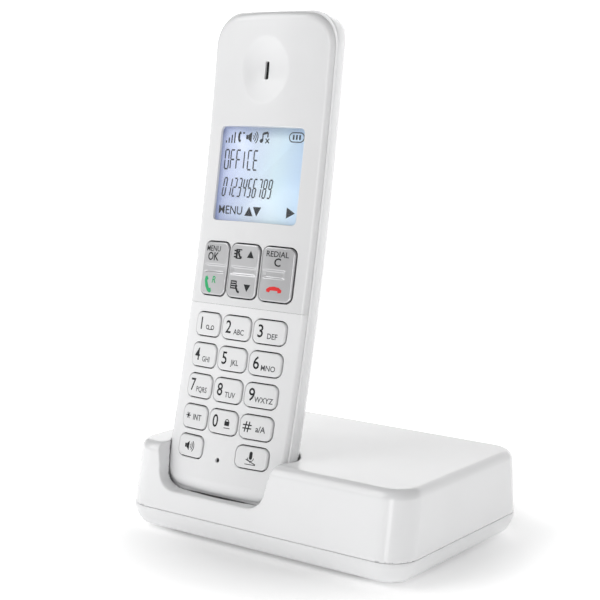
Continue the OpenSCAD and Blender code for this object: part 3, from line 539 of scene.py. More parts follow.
def buildBack():
    skin = Skin()
    wide = handset["width"] / 2
    outer, out = roundLoop(-wide, wide, 0.0, handset["length"], handset["footRound"], handset["topRound"],
                           arc=14, step=2.5)
    r, turn, centre = backArc(outer[:, 0], out[:, 0], out[:, 1], outer[:, 1])
    seam = handset["seam"] + 0.15
    # the front corner's own rounding still shows below the seam at the sides
    tuck = 0.24 * out[:, 0] ** 2
    rings = [(1.9, seam), (tuck + 0.3, seam), (tuck + 0.09, seam + 0.07), (tuck, seam + 0.3),
             (tuck * 0.25, seam + 0.65), (0 * tuck, seam + 1.2)]
    last = None
    for inset, deep in rings:
        p = outer - out * np.broadcast_to(inset, len(outer))[:, None]
        ring = skin.add(p[:, 0], p[:, 1], np.full(len(outer), deep))
        if last:
            skin.join(last, ring)
        last = ring
    for k in range(8):
        a = turn * back["roundShare"] * k / 7
        p = outer - out * (r * (1 - np.cos(a)))[:, None]
        ring = skin.add(p[:, 0], p[:, 1], np.maximum(centre + r * np.sin(a), seam + 1.3))
        skin.join(last, ring)
        last = ring
    cap = p
    door = box2(0, back["doorS"], back["doorW"], back["doorH"], back["doorGap"], back["doorR"])
    rims = [(door, back["doorT"])]
    for i in range(-2, 3):
        slotS = back["ringerS"] + i * back["slotPitch"]
        slot = box2(0, slotS, back["slotW"] - back["slotLess"] * abs(i), back["slotH"], 0, 0.55, arc=4)
        rims.append((slot, back["slotDeep"]))
    rims += [(circleLoop(x, s, back["screwHoleR"], 28), back["screwDeep"]) for x, s in screwSpots]
    rr = back["rimR"]
    holes = [loop + o * rr for (loop, o), down in rims]
    extra = []
    for k in (0.66, 0.72, 0.78, 0.84, 0.9, 0.96, 1.0, 1.03, 1.08):
        a = np.minimum(turn * k, turn)
        grow = r * (1 - np.cos(a)) + np.maximum(k - 1, 0) * 20
        extra.append((outer - out * grow[:, None])[::2])
    verts, tris = fillFlat(cap, holes, 2.2, np.concatenate(extra))
    skin.patch(verts, tris, backDepth(verts[:, 0], verts[:, 1]), flip=True)
    for (loop, o), down in rims:
        steps = [(rr, 0), (rr * 0.5, -rr * 0.13), (rr * 0.13, -rr * 0.5), (0, -rr), (0, -down)]
        bottom = skin.rim(loop, o, steps, backDepth)
        if down == back["doorT"]:
            # a ledge, then the walls and floor of the battery bay
            bay = loopLike(loop, box2(0, back["doorS"], back["bayW"], back["bayH"], 0, back["doorR"])[0])
            ledge = skin.points[-len(loop):]
            deepest = skin.add(loop[:, 0], loop[:, 1], [p[2] for p in ledge])
            inner = skin.add(bay[:, 0], bay[:, 1], backDepth(bay[:, 0], bay[:, 1]) - down)
            skin.join(deepest, inner)
            floor = skin.add(bay[:, 0], bay[:, 1], np.full(len(bay), back["bayD"]))
            skin.join(inner, floor)
            skin.close(floor)
        elif down == back["screwDeep"]:
            skin.close(bottom)
    return skin


# squeezes one loop into the box of another, keeping its points in step
def loopLike(loop, target):
    low, high = loop.min(0), loop.max(0)
    low2, high2 = target.min(0), target.max(0)
    return low2 + (loop - low) / (high - low) * (high2 - low2)


backShell = buildBack().mesh("backCoverShell", "handset", "glossWhite", "white_shell")
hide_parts("handset_back_cover")


# the battery door, with finger ridges near its upper end
def buildDoor():
    skin = Skin()
    loop, out = box2(0, back["doorS"], back["doorW"], back["doorH"], 0, back["doorR"] - 0.3)
    ridges = []
    for i in range(-2, 3):
        ridges.append(box2(0, back["doorS"] + 18.8 + i * 1.6, 9, 0.7, 0, 0.3, arc=4))
    rr = 0.18
    extra = [loop - out * k for k in (0.6, 1.4)]
    verts, tris = fillFlat(loop - out * rr, [l + o * 0.12 for l, o in ridges], 2.8, np.concatenate(extra))
    skin.patch(verts, tris, backDepth(verts[:, 0], verts[:, 1]), flip=True)
    skin.rim(loop, out, [(-rr, 0), (-rr * 0.5, -rr * 0.13), (-rr * 0.13, -rr * 0.5), (0, -rr), (0, -1.4),
                         (-1.2, -1.4)], backDepth, flip=True)
    for l, o in ridges:
        skin.close(skin.rim(l, o, [(0.12, 0), (0.03, -0.06), (0, -0.2), (-0.1, -0.42)], backDepth))
    inside, insideTris = fillFlat(loop - out * 1.2, [], 3.5)
    skin.patch(inside, insideTris, backDepth(inside[:, 0], inside[:, 1]) - 1.4)
    return skin


doorShell = buildDoor().mesh("batteryDoorShell", "battery_door_body", "glossWhite", "white_shell")
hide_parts("battery_door")
print("back cover and door built")


# key and rocker caps
caps = dict(round=0.42, deep=2.5, dome=0.12, rockerProud=0.5, grooveH=2.4, grooveDeep=0.55, grooveLeft=-17.7,
            grooveRight=15.3, pitch=2.0)


def keyDepth(x, s, w, h, proud):
    def depth(u, v):
        a = np.clip(np.abs(np.asarray(u, float) - x) / (w / 2), 0, 1)
        b = np.clip(np.abs(np.asarray(v, float) - s) / (h / 2), 0, 1)
        return crownDrop(u) - proud + caps["dome"] * (a ** 4 + b ** 4) * 0.5
    return depth


def buildCap(x, s, w, h, proud, extraDepth=None, extra=None):
    skin = Skin()
    base = keyDepth(x, s, w, h, proud)
    depth = base if extraDepth is None else (lambda u, v: base(u, v) + extraDepth(u, v))
    loop, out = box2(x, s, w, h, 0, front["cornerR"], arc=7)
    rr = caps["round"]
    more = [loop - out * 0.9] + ([extra] if extra is not None else [])
    verts, tris = fillFlat(loop - out * rr, [], caps["pitch"], np.concatenate(more))
    skin.patch(verts, tris, depth(verts[:, 0], verts[:, 1]))
    skin.rim(loop, out, roundSteps(rr, 4, caps["deep"]), depth)
    return skin, depth


keyTop = {}
for name, column, row in keyRows:
    x, s, h = keyPlace(column, row)
    skin, depth = buildCap(x, s, front["keyW"], h, front["proud"])
    cap = skin.mesh(name + ".cap", name + "_body", "keyWhite", "white_keys")
    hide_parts(name)
    keyTop[name] = (x, s, depth)


# the rockers' shared finger channel: full width in the middle, closed at the outer ends
def channel(x):
    def deep(u, v):
        u, v = np.asarray(u, float), np.asarray(v, float)
        across = np.abs(v - front["rockerS"]) - caps["grooveH"] / 2
        along = np.where(x < 0, caps["grooveLeft"] - u, np.where(x > 0, u - caps["grooveRight"], -1.0))
        edge = np.maximum(across, along)
        t = np.clip(0.5 - edge / 0.5, 0, 1)
        return caps["grooveDeep"] * t * t * (3 - 2 * t)
    return deep


for name, x, w in rockers:
    s = front["rockerS"]
    rows = []
    for v in (-1.7, -1.45, -1.3, -1.2, -1.1, -0.95, -0.6, 0, 0.6, 0.95, 1.1, 1.2, 1.3, 1.45, 1.7):
        rows += [(u, s + v) for u in np.linspace(x - w / 2 + 0.6, x + w / 2 - 0.6, 22)]
    edgeU = caps["grooveLeft"] if x < 0 else caps["grooveRight"]
    if x != 0:
        rows += [(edgeU + k, s + v) for k in (-0.3, -0.15, 0.15, 0.3) for v in np.linspace(-0.8, 0.8, 5)]
    skin, depth = buildCap(x, s, w, front["rockerH"], caps["rockerProud"], channel(x), np.array(rows))
    cap = skin.mesh(name + ".cap", name + "_body", "keySilver", "silver_keys", angle=60)
    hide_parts(name)
    keyTop[name] = (x, s, depth)
print("keys built")


# printing: flat shapes in millimetres that are laid on a surface
class Print:
    def __init__(self):
        self.verts, self.faces = [], []

    def shape(self, points, faces=None):
        start = len(self.verts)
        self.verts += [tuple(p) for p in points]
        for f in faces or [list(range(len(points)))]:
            self.faces.append(tuple(start + i for i in f))
        return self

    def text(self, words, size, x, y, slant=0.0, squeeze=1.0, bold=0.045):
        curve = bpy.data.curves.new("type", "FONT")
        curve.body = words
        curve.size = size
        curve.align_x = "CENTER"
        curve.align_y = "CENTER"
        curve.offset = bold
        curve.resolution_u = 3
        thing = addObject("type", curve)
        bpy.context.view_layer.update()
        shaped = thing.evaluated_get(bpy.context.evaluated_depsgraph_get())
        flat = bpy.data.meshes.new_from_object(shaped)
        points = np.array([v.co[:2] for v in flat.vertices]).reshape(-1, 2)
        faces = [list(p.vertices) for p in flat.polygons]
        bpy.data.objects.remove(thing)
        bpy.data.meshes.remove(flat)
        if len(points):
            middle = (points.min(0) + points.max(0)) / 2
            points = (points - middle) * [squeeze, 1]
            points[:, 0] += points[:, 1] * slant
            self.shape(points + [x, y], faces)
        return self

    def bar(self, x0, y0, x1, y1, w):
        d = np.array([x1 - x0, y1 - y0], float)
        d /= max(np.hypot(*d), 1e-9)
        n = np.array([-d[1], d[0]]) * w / 2
        a, b = np.array([x0, y0]), np.array([x1, y1])
        return self.shape([a - n, b - n, b + n, a + n])

    def arc(self, x, y, r, w, a0, a1, count=14):
        a = np.radians(np.linspace(a0, a1, count + 1))
        ring = [(x + (r + w / 2) * math.cos(t), y + (r + w / 2) * math.sin(t)) for t in a]
        ring += [(x + (r - w / 2) * math.cos(t), y + (r - w / 2) * math.sin(t)) for t in a]
        m = count + 1
        return self.shape(ring, [[i, i + 1, m + i + 1, m + i][::-1] for i in range(count)])

    def disc(self, x, y, r, count=20):
        a = np.linspace(0, 2 * np.pi, count, endpoint=False)
        return self.shape([(x + r * math.cos(t), y + r * math.sin(t)) for t in a])

    # a telephone receiver, ear cup to mouth cup, turned by an angle
    def receiver(self, x, y, size, turn):
        outer = [(-1.0, 0.28), (-0.96, -0.02), (-0.55, -0.1), (-0.46, 0.16), (0.46, 0.16), (0.55, -0.1),
                 (0.96, -0.02), (1.0, 0.28), (0.62, 0.56), (0.0, 0.66), (-0.62, 0.56)]
        c, n = math.cos(math.radians(turn)), math.sin(math.radians(turn))
        points = [(x + size * (px * c - py * n), y + size * (px * n + py * c)) for px, py in outer]
        return self.shape(points, [[0, 1, 2, 3, 10], [3, 4, 8, 9, 10], [4, 5, 6, 7, 8]])

    def mesh(self, name, body, look, slotName, place):
        pts = np.array(self.verts, float)
        piece = addPiece(name, place(pts), self.faces, body, look, slotName, smooth=False)

        def splitLarge(bm):
            bmesh.ops.triangulate(bm, faces=[f for f in bm.faces if len(f.verts) > 4])
        reworkMesh(piece, splitLarge)
        return piece


inkLift = 0.022


def onKey(name):
    x, s, depth = keyTop[name]

    def place(p):
        u, v = x + p[:, 0], s + p[:, 1]
        return spot(u, v, depth(u, v) - inkLift)
    return place


# lays a drawing on the top of a key or a rocker, as a piece named after it
def printOn(key, part, art, look="ink"):
    slotName = "silver_keys" if key.startswith("rocker") else "white_keys"
    art.mesh(key + "." + part, key + "_body", look, slotName, onKey(key))


digits = dict(size=5.8, small=2.5, squeeze=0.86)
letters = dict(key_2="ABC", key_3="DEF", key_4="GHI", key_5="JKL", key_6="MNO", key_7="PQRS", key_8="TUV",
               key_9="WXYZ")
for digit in "1234567890":
    key = "key_" + digit
    squeeze = digits["squeeze"]
    printOn(key, "digit", Print().text(digit, digits["size"], -2.9, 0.15, squeeze=squeeze, bold=0.06))
    if key in letters:
        small = Print().text(letters[key], digits["small"], 1.45, -1.25, squeeze=squeeze, bold=0.03)
        printOn(key, "letters", small, "paleInk")
mail = Print()
for x in (0.2, 2.6):
    mail.arc(x, -0.95, 0.62, 0.28, 0, 360, 24)
printOn("key_1", "mail", mail.bar(0.2, -1.6, 2.6, -1.6, 0.28))
lock = Print().shape([(1.0, -0.9), (2.9, -0.9), (2.9, 0.5), (1.0, 0.5)]).arc(1.95, 0.5, 0.62, 0.3, 0, 180)
printOn("key_0", "lock", lock.bar(0.9, -1.65, 3.3, -1.65, 0.25))
star = Print()
for a in (0, 60, 120):
    c, n = math.cos(math.radians(a)), math.sin(math.radians(a))
    star.bar(-3.0 - 1.1 * c, 0.1 - 1.1 * n, -3.0 + 1.1 * c, 0.1 + 1.1 * n, 0.34)
printOn("key_star", "star", star)
printOn("key_star", "letters", Print().text("INT", 2.7, 1.4, -0.1, squeeze=0.9), "paleInk")
hashSign = Print()
for k in (-0.55, 0.55):
    hashSign.bar(-2.9 + k - 0.25, -1.7, -2.9 + k + 0.25, 1.7, 0.4)
    hashSign.bar(-4.5, k, -1.3, k, 0.4)
printOn("key_hash", "sign", hashSign)
printOn("key_hash", "letters", Print().text("a/A", 2.7, 1.9, -0.3, squeeze=0.9), "paleInk")


def speakerMark(art, x, y, k):
    for outline in ([(-1.9, -0.55), (-1.15, -0.55), (-1.15, 0.55), (-1.9, 0.55)],
                    [(-1.1, -0.6), (-0.1, -1.35), (-0.1, 1.35), (-1.1, 0.6)]):
        art.shape([(x + px * k, y + py * k) for px, py in outline])
    for r in (0.75, 1.35, 1.95):
        art.arc(x - 0.1 * k, y, r * k, 0.27 * k, -48, 48, 10)
    return art


printOn("key_speaker", "mark", speakerMark(Print(), -0.2, 0.0, 1.15))
mute = Print().shape([(-0.55, 0.0), (0.55, 0.0), (0.55, 1.5), (-0.55, 1.5)]).disc(0, 1.5, 0.55)
mute.disc(0, 0.0, 0.55).arc(0, 0.0, 1.05, 0.25, 180, 360)
for ends in ((0, -1.05, 0, -1.6, 0.25), (-1.6, -0.6, 1.9, -1.9, 0.3), (-1.8, -2.1, 1.9, -2.1, 0.25)):
    mute.bar(*ends)
printOn("key_mute", "mark", mute)
menu = Print().text("MENU", 2.6, -1.3, 6.5, squeeze=0.98, bold=0.02)
printOn("rocker_menu_talk", "words", menu.text("OK", 3.7, -1.1, 3.9, squeeze=0.95, bold=0.07))
talk = Print().receiver(-1.7, -5.2, 3.0, -62 + 180).text("R", 3.2, 0.7, -3.7, slant=0.15)
printOn("rocker_menu_talk", "talk", talk, "greenInk")
redial = Print().text("REDIAL", 2.6, -0.3, 6.5, squeeze=0.95, bold=0.03)
printOn("rocker_redial_end", "words", redial.text("C", 3.7, 0.0, 3.9, squeeze=0.95, bold=0.07))
printOn("rocker_redial_end", "end", Print().receiver(-0.2, -5.6, 2.7, 0), "redInk")
arrows = Print().shape([(1.1, 4.4), (3.8, 4.4), (2.45, 6.8)]).shape([(1.1, -4.2), (2.45, -6.6), (3.8, -4.2)])
# a phone book with its index tabs
for right, low, high in ((-1.1, 3.8, 4.2), (-1.1, 6.6, 7.0), (-2.8, 4.2, 6.6)):
    arrows.shape([(-3.6, low), (right, low), (right, high), (-3.6, high)])
arrows.receiver(-1.6, 5.4, 1.5, 118)
for k in range(3):
    arrows.bar(-4.4, 4.4 + k, -3.6, 4.4 + k, 0.5)
# a call list with a receiver
for k in range(4):
    arrows.bar(-4.2, -3.5 - 0.75 * k, -2.0, -3.5 - 0.75 * k, 0.46)
arrows.bar(-4.25, -3.3, -4.25, -6.0, 0.3).bar(-2.0, -3.3, -2.0, -5.0, 0.35).receiver(-1.1, -5.8, 1.5, 118)
printOn("rocker_up_down", "marks", arrows)
print("legends printed")


# the display: a clear pane over a lit field with dark signs
display = dict(paneW=37.0, paneH=34.2, paneD=front["paneD"], glassT=0.8, fieldW=35.4, fieldH=32.6, fieldT=2.2)
leanWindow = math.radians(handset["lean"]) - front["windowS"] / handset["bow"]


# a place on the flat display: x across, y up, from the window's middle, depth into it
def onDisplay(x, y, d):
    x, y, d = np.broadcast_arrays(*[np.asarray(a, float) for a in (x, y, d)])
    deep = handset["bow"] + d
    return np.stack([handset["x"] + x, bowY + deep * math.cos(leanWindow) + y * math.sin(leanWindow),
                     bowZ - deep * math.sin(leanWindow) + y * math.cos(leanWindow)], -1) * 0.001


def slab(name, w, h, d0, d1, look, slotName, r=1.2):
    bevel = 0.15
    loop, out = roundLoop(-w / 2, w / 2, -h / 2, h / 2, r, arc=4, step=50)
    verts = []
    rings = [(-bevel, d0), (0, d0 + bevel), (0, d1 - bevel), (-bevel, d1)]
    for move, deep in rings:
        p = loop + out * move
        verts += list(onDisplay(p[:, 0], p[:, 1], deep))
    piece = addPiece(name, verts, tubeFaces(len(loop), len(rings)), "handset", look, slotName)
    reworkMesh(piece, lambda bm: bmesh.ops.recalc_face_normals(bm, faces=bm.faces))
    weighNormals(piece, 30)
    return piece


def multiply(mat, values):
    mix = addNode(mat, "Mix")
    mix.data_type = "RGBA"
    mix.blend_type = "MULTIPLY"
    setInputs(mix, values)
    return mix


def litPanel():
    mat, shader, coords = startLook("litPanel", {"Roughness": 0.5, "Emission Strength": 0.2})
    parts = addNode(mat, "SeparateXYZ")
    join(mat, coords, "Object", parts, "Vector")
    # brightest right of the middle; darker and bluer at the left edge, a painted shade of the window's left
    # wall; the top is shaded below
    across = addNode(mat, "MapRange", {"From Min": -0.0365, "From Max": -0.0045})
    join(mat, parts, "X", across, "Value")
    tint = addNode(mat, "ValToRGB")
    fillRamp(tint, [(0.0, (0.50, 0.56, 0.80)), (0.14, (0.64, 0.70, 0.90)), (0.5, (0.74, 0.83, 0.93)),
                    (0.72, (0.74, 0.88, 0.94)), (1.0, (0.62, 0.78, 0.93))])
    join(mat, across, "Result", tint, "Fac")
    # painted shade: the field is darkened towards its top edge, where the window's frame would shade it
    top = float(spot(0, front["windowS"] + front["windowH"] / 2, display["paneD"] + display["glassT"])[2])
    shade = addNode(mat, "MapRange", {"From Min": top - 0.0042, "From Max": top - 0.0004,
                                      "To Min": 0.0, "To Max": 0.6})
    shade.interpolation_type = "SMOOTHSTEP"
    join(mat, parts, "Z", shade, "Value")
    shaded = multiply(mat, {"B": (0.42, 0.46, 0.58, 1)})
    join(mat, shade, "Result", shaded, "Factor")
    join(mat, tint, "Color", shaded, "A")
    mixed = multiply(mat, {"Factor": 0.06})
    join(mat, shaded, "Result", mixed, "A")
    join(mat, addNoise(mat, coords, {"Scale": 90.0}), "Color", mixed, "B")
    join(mat, mixed, "Result", shader, "Base Color")
    join(mat, mixed, "Result", shader, "Emission Color")
    return mat


def clearWindow():
    mat, shader, coords = startLook("clearWindow", {"Base Color": (0.9, 0.95, 1.0, 1), "Alpha": 0.07,
                                                    "Coat Weight": 0.3})
    haze = addNoise(mat, coords, {"Scale": 60.0})
    gloss = addNode(mat, "MapRange", {"To Min": 0.02, "To Max": 0.05})
    join(mat, haze, "Fac", gloss, "Value")
    join(mat, gloss, "Result", shader, "Roughness")
    return mat


looks["litPanel"] = litPanel()
looks["clearWindow"] = clearWindow()
paneBack = display["paneD"] + display["glassT"]
pane = slab("displayPane", display["paneW"], display["paneH"], display["paneD"], paneBack, "clearWindow",
            "clear_window")
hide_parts("display_window")
field = slab("displayField", display["fieldW"], display["fieldH"], paneBack, paneBack + display["fieldT"],
             "litPanel", "display_glass", r=0.6)
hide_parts("lcd_module")

# fourteen-segment characters: strokes on a unit cell, 0..1 across and 0..1 up
strokes = {"a": (0, 1, 1, 1), "b": (1, 1, 1, 0.5), "c": (1, 0.5, 1, 0), "d": (0, 0, 1, 0),
           "e": (0, 0.5, 0, 0), "f": (0, 1, 0, 0.5), "g": (0, 0.5, 1, 0.5), "i": (0.5, 1, 0.5, 0)}
glyphs = {"0": "abcdef", "1": "bc", "2": "abged", "3": "abgcd", "4": "fgbc", "5": "afgcd", "6": "afgecd",
          "7": "abc", "8": "abcdefg", "9": "abcdfg", "O": "abcdef", "F": "feag", "I": "i", "C": "afed",
          "E": "afged"}


def segmentLine(art, words, x, y, w, h, pitch, pen, slant):
    for k, letter in enumerate(words):
        for stroke in glyphs[letter]:
            x0, y0, x1, y1 = strokes[stroke]
            upright = abs(x1 - x0) < 0.2
            trim = 0.06
            ax, ay = x + k * pitch + x0 * w, y + y0 * h
            bx, by = x + k * pitch + x1 * w, y + y1 * h
            ax, bx = ax + (bx - ax) * trim, bx - (bx - ax) * trim
            ay, by = ay + (by - ay) * trim, by - (by - ay) * trim
            art.bar(ax + slant * (ay - y), ay, bx + slant * (by - y), by, pen if upright else pen * 1.1)
    return art


signs = Print()
for k in range(4):
    signs.bar(-15.9 + k * 1.15, 10.2, -15.9 + k * 1.15, 11.0 + k * 0.95, 0.5)
signs.receiver(-10.0, 12.3, 1.8, 90)
signs.bar(-9.3, 13.6, -8.4, 13.6, 0.5)
speakerMark(signs, -5.3, 12.3, 1.3)
# a crossed-out note
signs.bar(-0.9, 13.5, 1.1, 14.0, 0.8).bar(-0.9, 11.2, -0.9, 13.6, 0.5).bar(1.1, 12.4, 1.1, 14.0, 0.5)
signs.disc(-1.4, 11.2, 0.65).bar(0.3, 10.5, 1.8, 12.0, 0.4).bar(0.3, 12.0, 1.8, 10.5, 0.4)
# the battery: an outline with three bars
for y in (14.2, 11.2):
    signs.bar(11.3, y, 14.2, y, 0.35)
signs.arc(11.3, 12.7, 1.5, 0.35, 90, 270).arc(14.2, 12.7, 1.5, 0.35, -90, 90)
for k in range(3):
    signs.bar(11.5 + k * 1.25, 11.9, 11.5 + k * 1.25, 13.5, 0.66)
segmentLine(signs, "OFFICE", -15.7, 1.6, 1.5, 6.3, 2.4, 0.46, 0.0)
segmentLine(signs, "0123456789", -15.6, -7.3, 1.15, 5.9, 2.08, 0.44, 0.12)
signs.text("MENU", 3.9, -11.3, -11.9, squeeze=0.95, bold=0.03)
signs.shape([(-5.3, -13.5), (-1.9, -13.5), (-3.6, -10.4)]).shape([(-2.1, -10.4), (-0.4, -13.5), (1.3, -10.4)])
signs.shape([(11.6, -13.4), (15.0, -11.6), (11.6, -9.8)])
signs.mesh("displaySigns", "handset", "segmentInk", "display_glass",
           lambda p: onDisplay(p[:, 0], p[:, 1], paneBack - 0.05))
print("display built")


# dark felt behind the earpiece slot and the microphone's hole
def feltDisc(name, s, r, deep):
    skin = Skin()
    last = None
    for grow, extra in ((1.0, 0.0), (1.0, 0.25), (0.92, 0.32)):
        loop = circleLoop(0, s, r * grow)[0]
        ring = skin.add(loop[:, 0], loop[:, 1], np.full(len(loop), deep + extra))
        if last:
            skin.join(last, ring)
        else:
            skin.close(ring, flip=False)
        last = ring
    skin.close(last)
    skin.mesh(name, "handset", "felt", "felt")


feltDisc("earFelt", front["dishS"], 3.6, front["dishDeep"] + 0.75)
feltDisc("micFelt", front["micS"], 1.6, 0.9)
# painted shade: a near-black sheet behind the keys darkens the gaps so that they read as depth
gapShadeSheet = Skin()
gapShadeLoop = roundLoop(-21.0, 21.0, 8.0, 84.5, 4.0, arc=4, step=4.0)[0]
gapShadeVerts, gapShadeTris = fillFlat(gapShadeLoop, [], 4.0)
gapShadeSheet.patch(gapShadeVerts, gapShadeTris, crownDrop(gapShadeVerts[:, 0]) + 0.85)
gapShadeSheet.mesh("keyGapShadeSheet", "handset", "paintedGapShade", "grey_rubber")


# the base: its cover with the cradle is one surface of a distance, and the tray lies under the seam
base = dict(w=109.0, d=78.0, h=28.7, seam=7.6, gap=0.07, round=9.5, frontLean=3.2, backLean=1.8, edge=3.0,
            sideLean=0.3, lip=14.3, mouthW=43.4, mouthR=7.0, flare=1.7, clear=0.5, lipRound=0.55,
            jackZ=14.0, lineX=12.0, powerX=34.0, pageX=-34.0, pageZ=17.0, pageR=4.5, foot=0.8,
            lineHalf=(5.6, 4.3), powerHalf=4.2, jackWall=27, pageWall=31, pageGap=0.3, chinEdge=5.0, wall=1.8,
            bossGap=1, feetIn=(18, 10), step=0.6, quickStep=1.0)
slideS = 8.0
slideLean = math.radians(handset["lean"]) - slideS / handset["bow"]
slideAt = np.array([handset["x"], bowY + handset["bow"] * math.cos(slideLean),
                    bowZ - handset["bow"] * math.sin(slideLean)])


# distance to the part that two distances share, with a rounded edge
def both(a, b, r):
    ra, rb = np.maximum(a + r, 0), np.maximum(b + r, 0)
    return np.minimum(np.maximum(a, b), -r) + np.sqrt(ra ** 2 + rb ** 2)


def cradleRoom(x, y, z):
    u = x - slideAt[0]
    d = (y - slideAt[1]) * math.cos(slideLean) - (z - slideAt[2]) * math.sin(slideLean)
    s = (y - slideAt[1]) * math.sin(slideLean) + (z - slideAt[2]) * math.cos(slideLean) + slideS
    side = np.abs(u) - handset["width"] / 2
    face = np.sqrt(u ** 2 + (handset["crown"] - d) ** 2) - handset["crown"]
    crownD, r = handset["thick"] - handset["backCrown"], handset["backSide"]
    rear = np.sqrt(u ** 2 + (d - crownD) ** 2) - handset["backCrown"]
    cornerU, cornerD = handset["width"] / 2 - r, handset["sideD"]
    corner = np.hypot(np.abs(u) - cornerU, d - cornerD) - r
    turned = np.abs(u) * (cornerD - crownD) > cornerU * (d - crownD)
    flank = np.where(d < cornerD, side, np.where(turned, corner, rear))
    room = np.maximum(flank, both(side, face, front["sideEdge"]))
    room = np.maximum(room, both(side, -s, handset["footRound"]))
    room = np.maximum(room, np.maximum(both(-s, rear, handset["heel"]), both(-s, face, base["chinEdge"])))
    return room - base["clear"]


def mouthRoom(x, y, z):
    u = np.abs(x - handset["x"])
    top = base["lip"] + base["mouthR"]
    widen = base["flare"] * np.maximum(0, z - top) / (base["h"] - top)
    opening = both(u - base["mouthW"] / 2 - widen, base["lip"] - z, base["mouthR"])
    return np.maximum(opening, y + base["d"] / 2 - 11)


def coverForm(x, y, z):
    t = (z - base["seam"]) / (base["h"] - base["edge"] - base["seam"])
    r = base["round"]
    front0, back0 = -base["d"] / 2 + base["frontLean"] * t, base["d"] / 2 - base["backLean"] * t
    mid, reach = (front0 + back0) / 2, (back0 - front0) / 2
    qx = np.abs(x) - (base["w"] / 2 - base["sideLean"] * t - r)
    qy = np.abs(y - mid) - (reach - r)
    plan = np.minimum(np.maximum(qx, qy), 0) + np.hypot(np.maximum(qx, 0), np.maximum(qy, 0)) - r
    body = both(plan, z - base["h"], base["edge"])
    return both(body, base["seam"] + base["gap"] - z, 0.2)


# a square opening in the back wall
def socketRoom(x, y, z, at, halfW, halfH):
    opening = np.maximum(np.abs(x - at) - halfW, np.abs(z - base["jackZ"]) - halfH)
    return np.maximum(opening, base["jackWall"] - y)


def cover(x, y, z):
    room = np.minimum(cradleRoom(x, y, z), mouthRoom(x, y, z))
    shape = both(coverForm(x, y, z), -room, base["lipRound"])
    line = socketRoom(x, y, z, base["lineX"], *base["lineHalf"])
    power = socketRoom(x, y, z, base["powerX"], base["powerHalf"], base["powerHalf"])
    page = np.hypot(x - base["pageX"], z - base["pageZ"]) - base["pageR"] - base["pageGap"]
    page = np.maximum(page, base["pageWall"] - y)
    return both(shape, -np.minimum(np.minimum(line, power), page), 0.3)


# a mesh of the surface where a distance is nought, with its corners drawn onto it
def surfaceNet(distance, low, high, step):
    axes = [np.arange(a, b + step, step) for a, b in zip(low, high)]
    grid = distance(*np.meshgrid(*axes, indexing="ij")).astype(np.float32)
    inner = grid < 0
    cells = np.zeros(tuple(n - 1 for n in inner.shape), np.int8)
    for i in (0, 1):
        for j in (0, 1):
            for k in (0, 1):
                cells += inner[i:inner.shape[0] - 1 + i, j:inner.shape[1] - 1 + j, k:inner.shape[2] - 1 + k]
    active = (cells > 0) & (cells < 8)
    index = np.full(active.shape, -1, np.int32)
    where = np.argwhere(active)
    index[tuple(where.T)] = np.arange(len(where))
    points = np.array(low) + (where + 0.5) * step
    home = points.copy()
    small = step * 0.02

    def slope(p):
        f = distance(*p.T)
        g = np.stack([(distance(*(p + small * e).T) - distance(*(p - small * e).T)) / (2 * small)
                      for e in np.eye(3)], -1)
        return f, g
    for _ in range(7):
        f, g = slope(points)
        points = points - (f / np.maximum((g ** 2).sum(1), 0.09))[:, None] * g * 0.9
        points = np.clip(points, home - step * 0.75, home + step * 0.75)
    faces = []
    for axis in range(3):
        b, c = (axis + 1) % 3, (axis + 2) % 3
        lo = [slice(None)] * 3
        hi = [slice(None)] * 3
        lo[axis], hi[axis] = slice(0, -1), slice(1, None)
        for side in (b, c):
            lo[side] = hi[side] = slice(1, -1)
        one, two = inner[tuple(lo)], inner[tuple(hi)]
        for turn, mask in ((False, one & ~two), (True, ~one & two)):
            cell = np.argwhere(mask)
            cell[:, b] += 1
            cell[:, c] += 1
            quad = []
            for db, dc in ((-1, -1), (0, -1), (0, 0), (-1, 0)):
                q = cell.copy()
                q[:, b] += db
                q[:, c] += dc
                quad.append(index[tuple(q.T)])
            quad = np.stack(quad, -1)
            faces.append(quad[:, ::-1] if turn else quad)
    faces = np.concatenate(faces)
    faces = faces[(faces >= 0).all(1)]
    f, g = slope(points)
    normals = g / np.maximum(np.linalg.norm(g, axis=1), 1e-9)[:, None]
    return points, faces, normals


def netPiece(name, distance, low, high, step, body, look, slotName):
    points, faces, normals = surfaceNet(distance, low, high, step)
    piece = addPiece(name, points * 0.001, faces.tolist(), body, look, slotName)
    if len(piece.data.vertices) == len(normals):
        piece.data.normals_split_custom_set_from_vertices([tuple(n) for n in normals])
    return piece


coverShell = netPiece("baseCoverShell", cover, (-56.1, -40.1, 6.9), (56.1, 40.1, 29.9),
                      base["step"], "base", "glossWhite", "white_shell")
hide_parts("base_cover")
print("base cover built", len(coverShell.data.polygons))


# the tray: a tapering dish under the seam
def onBase(x, y, z):
    x, y, z = np.broadcast_arrays(x, y, z)
    return np.stack([x, y, z], -1) * 0.001


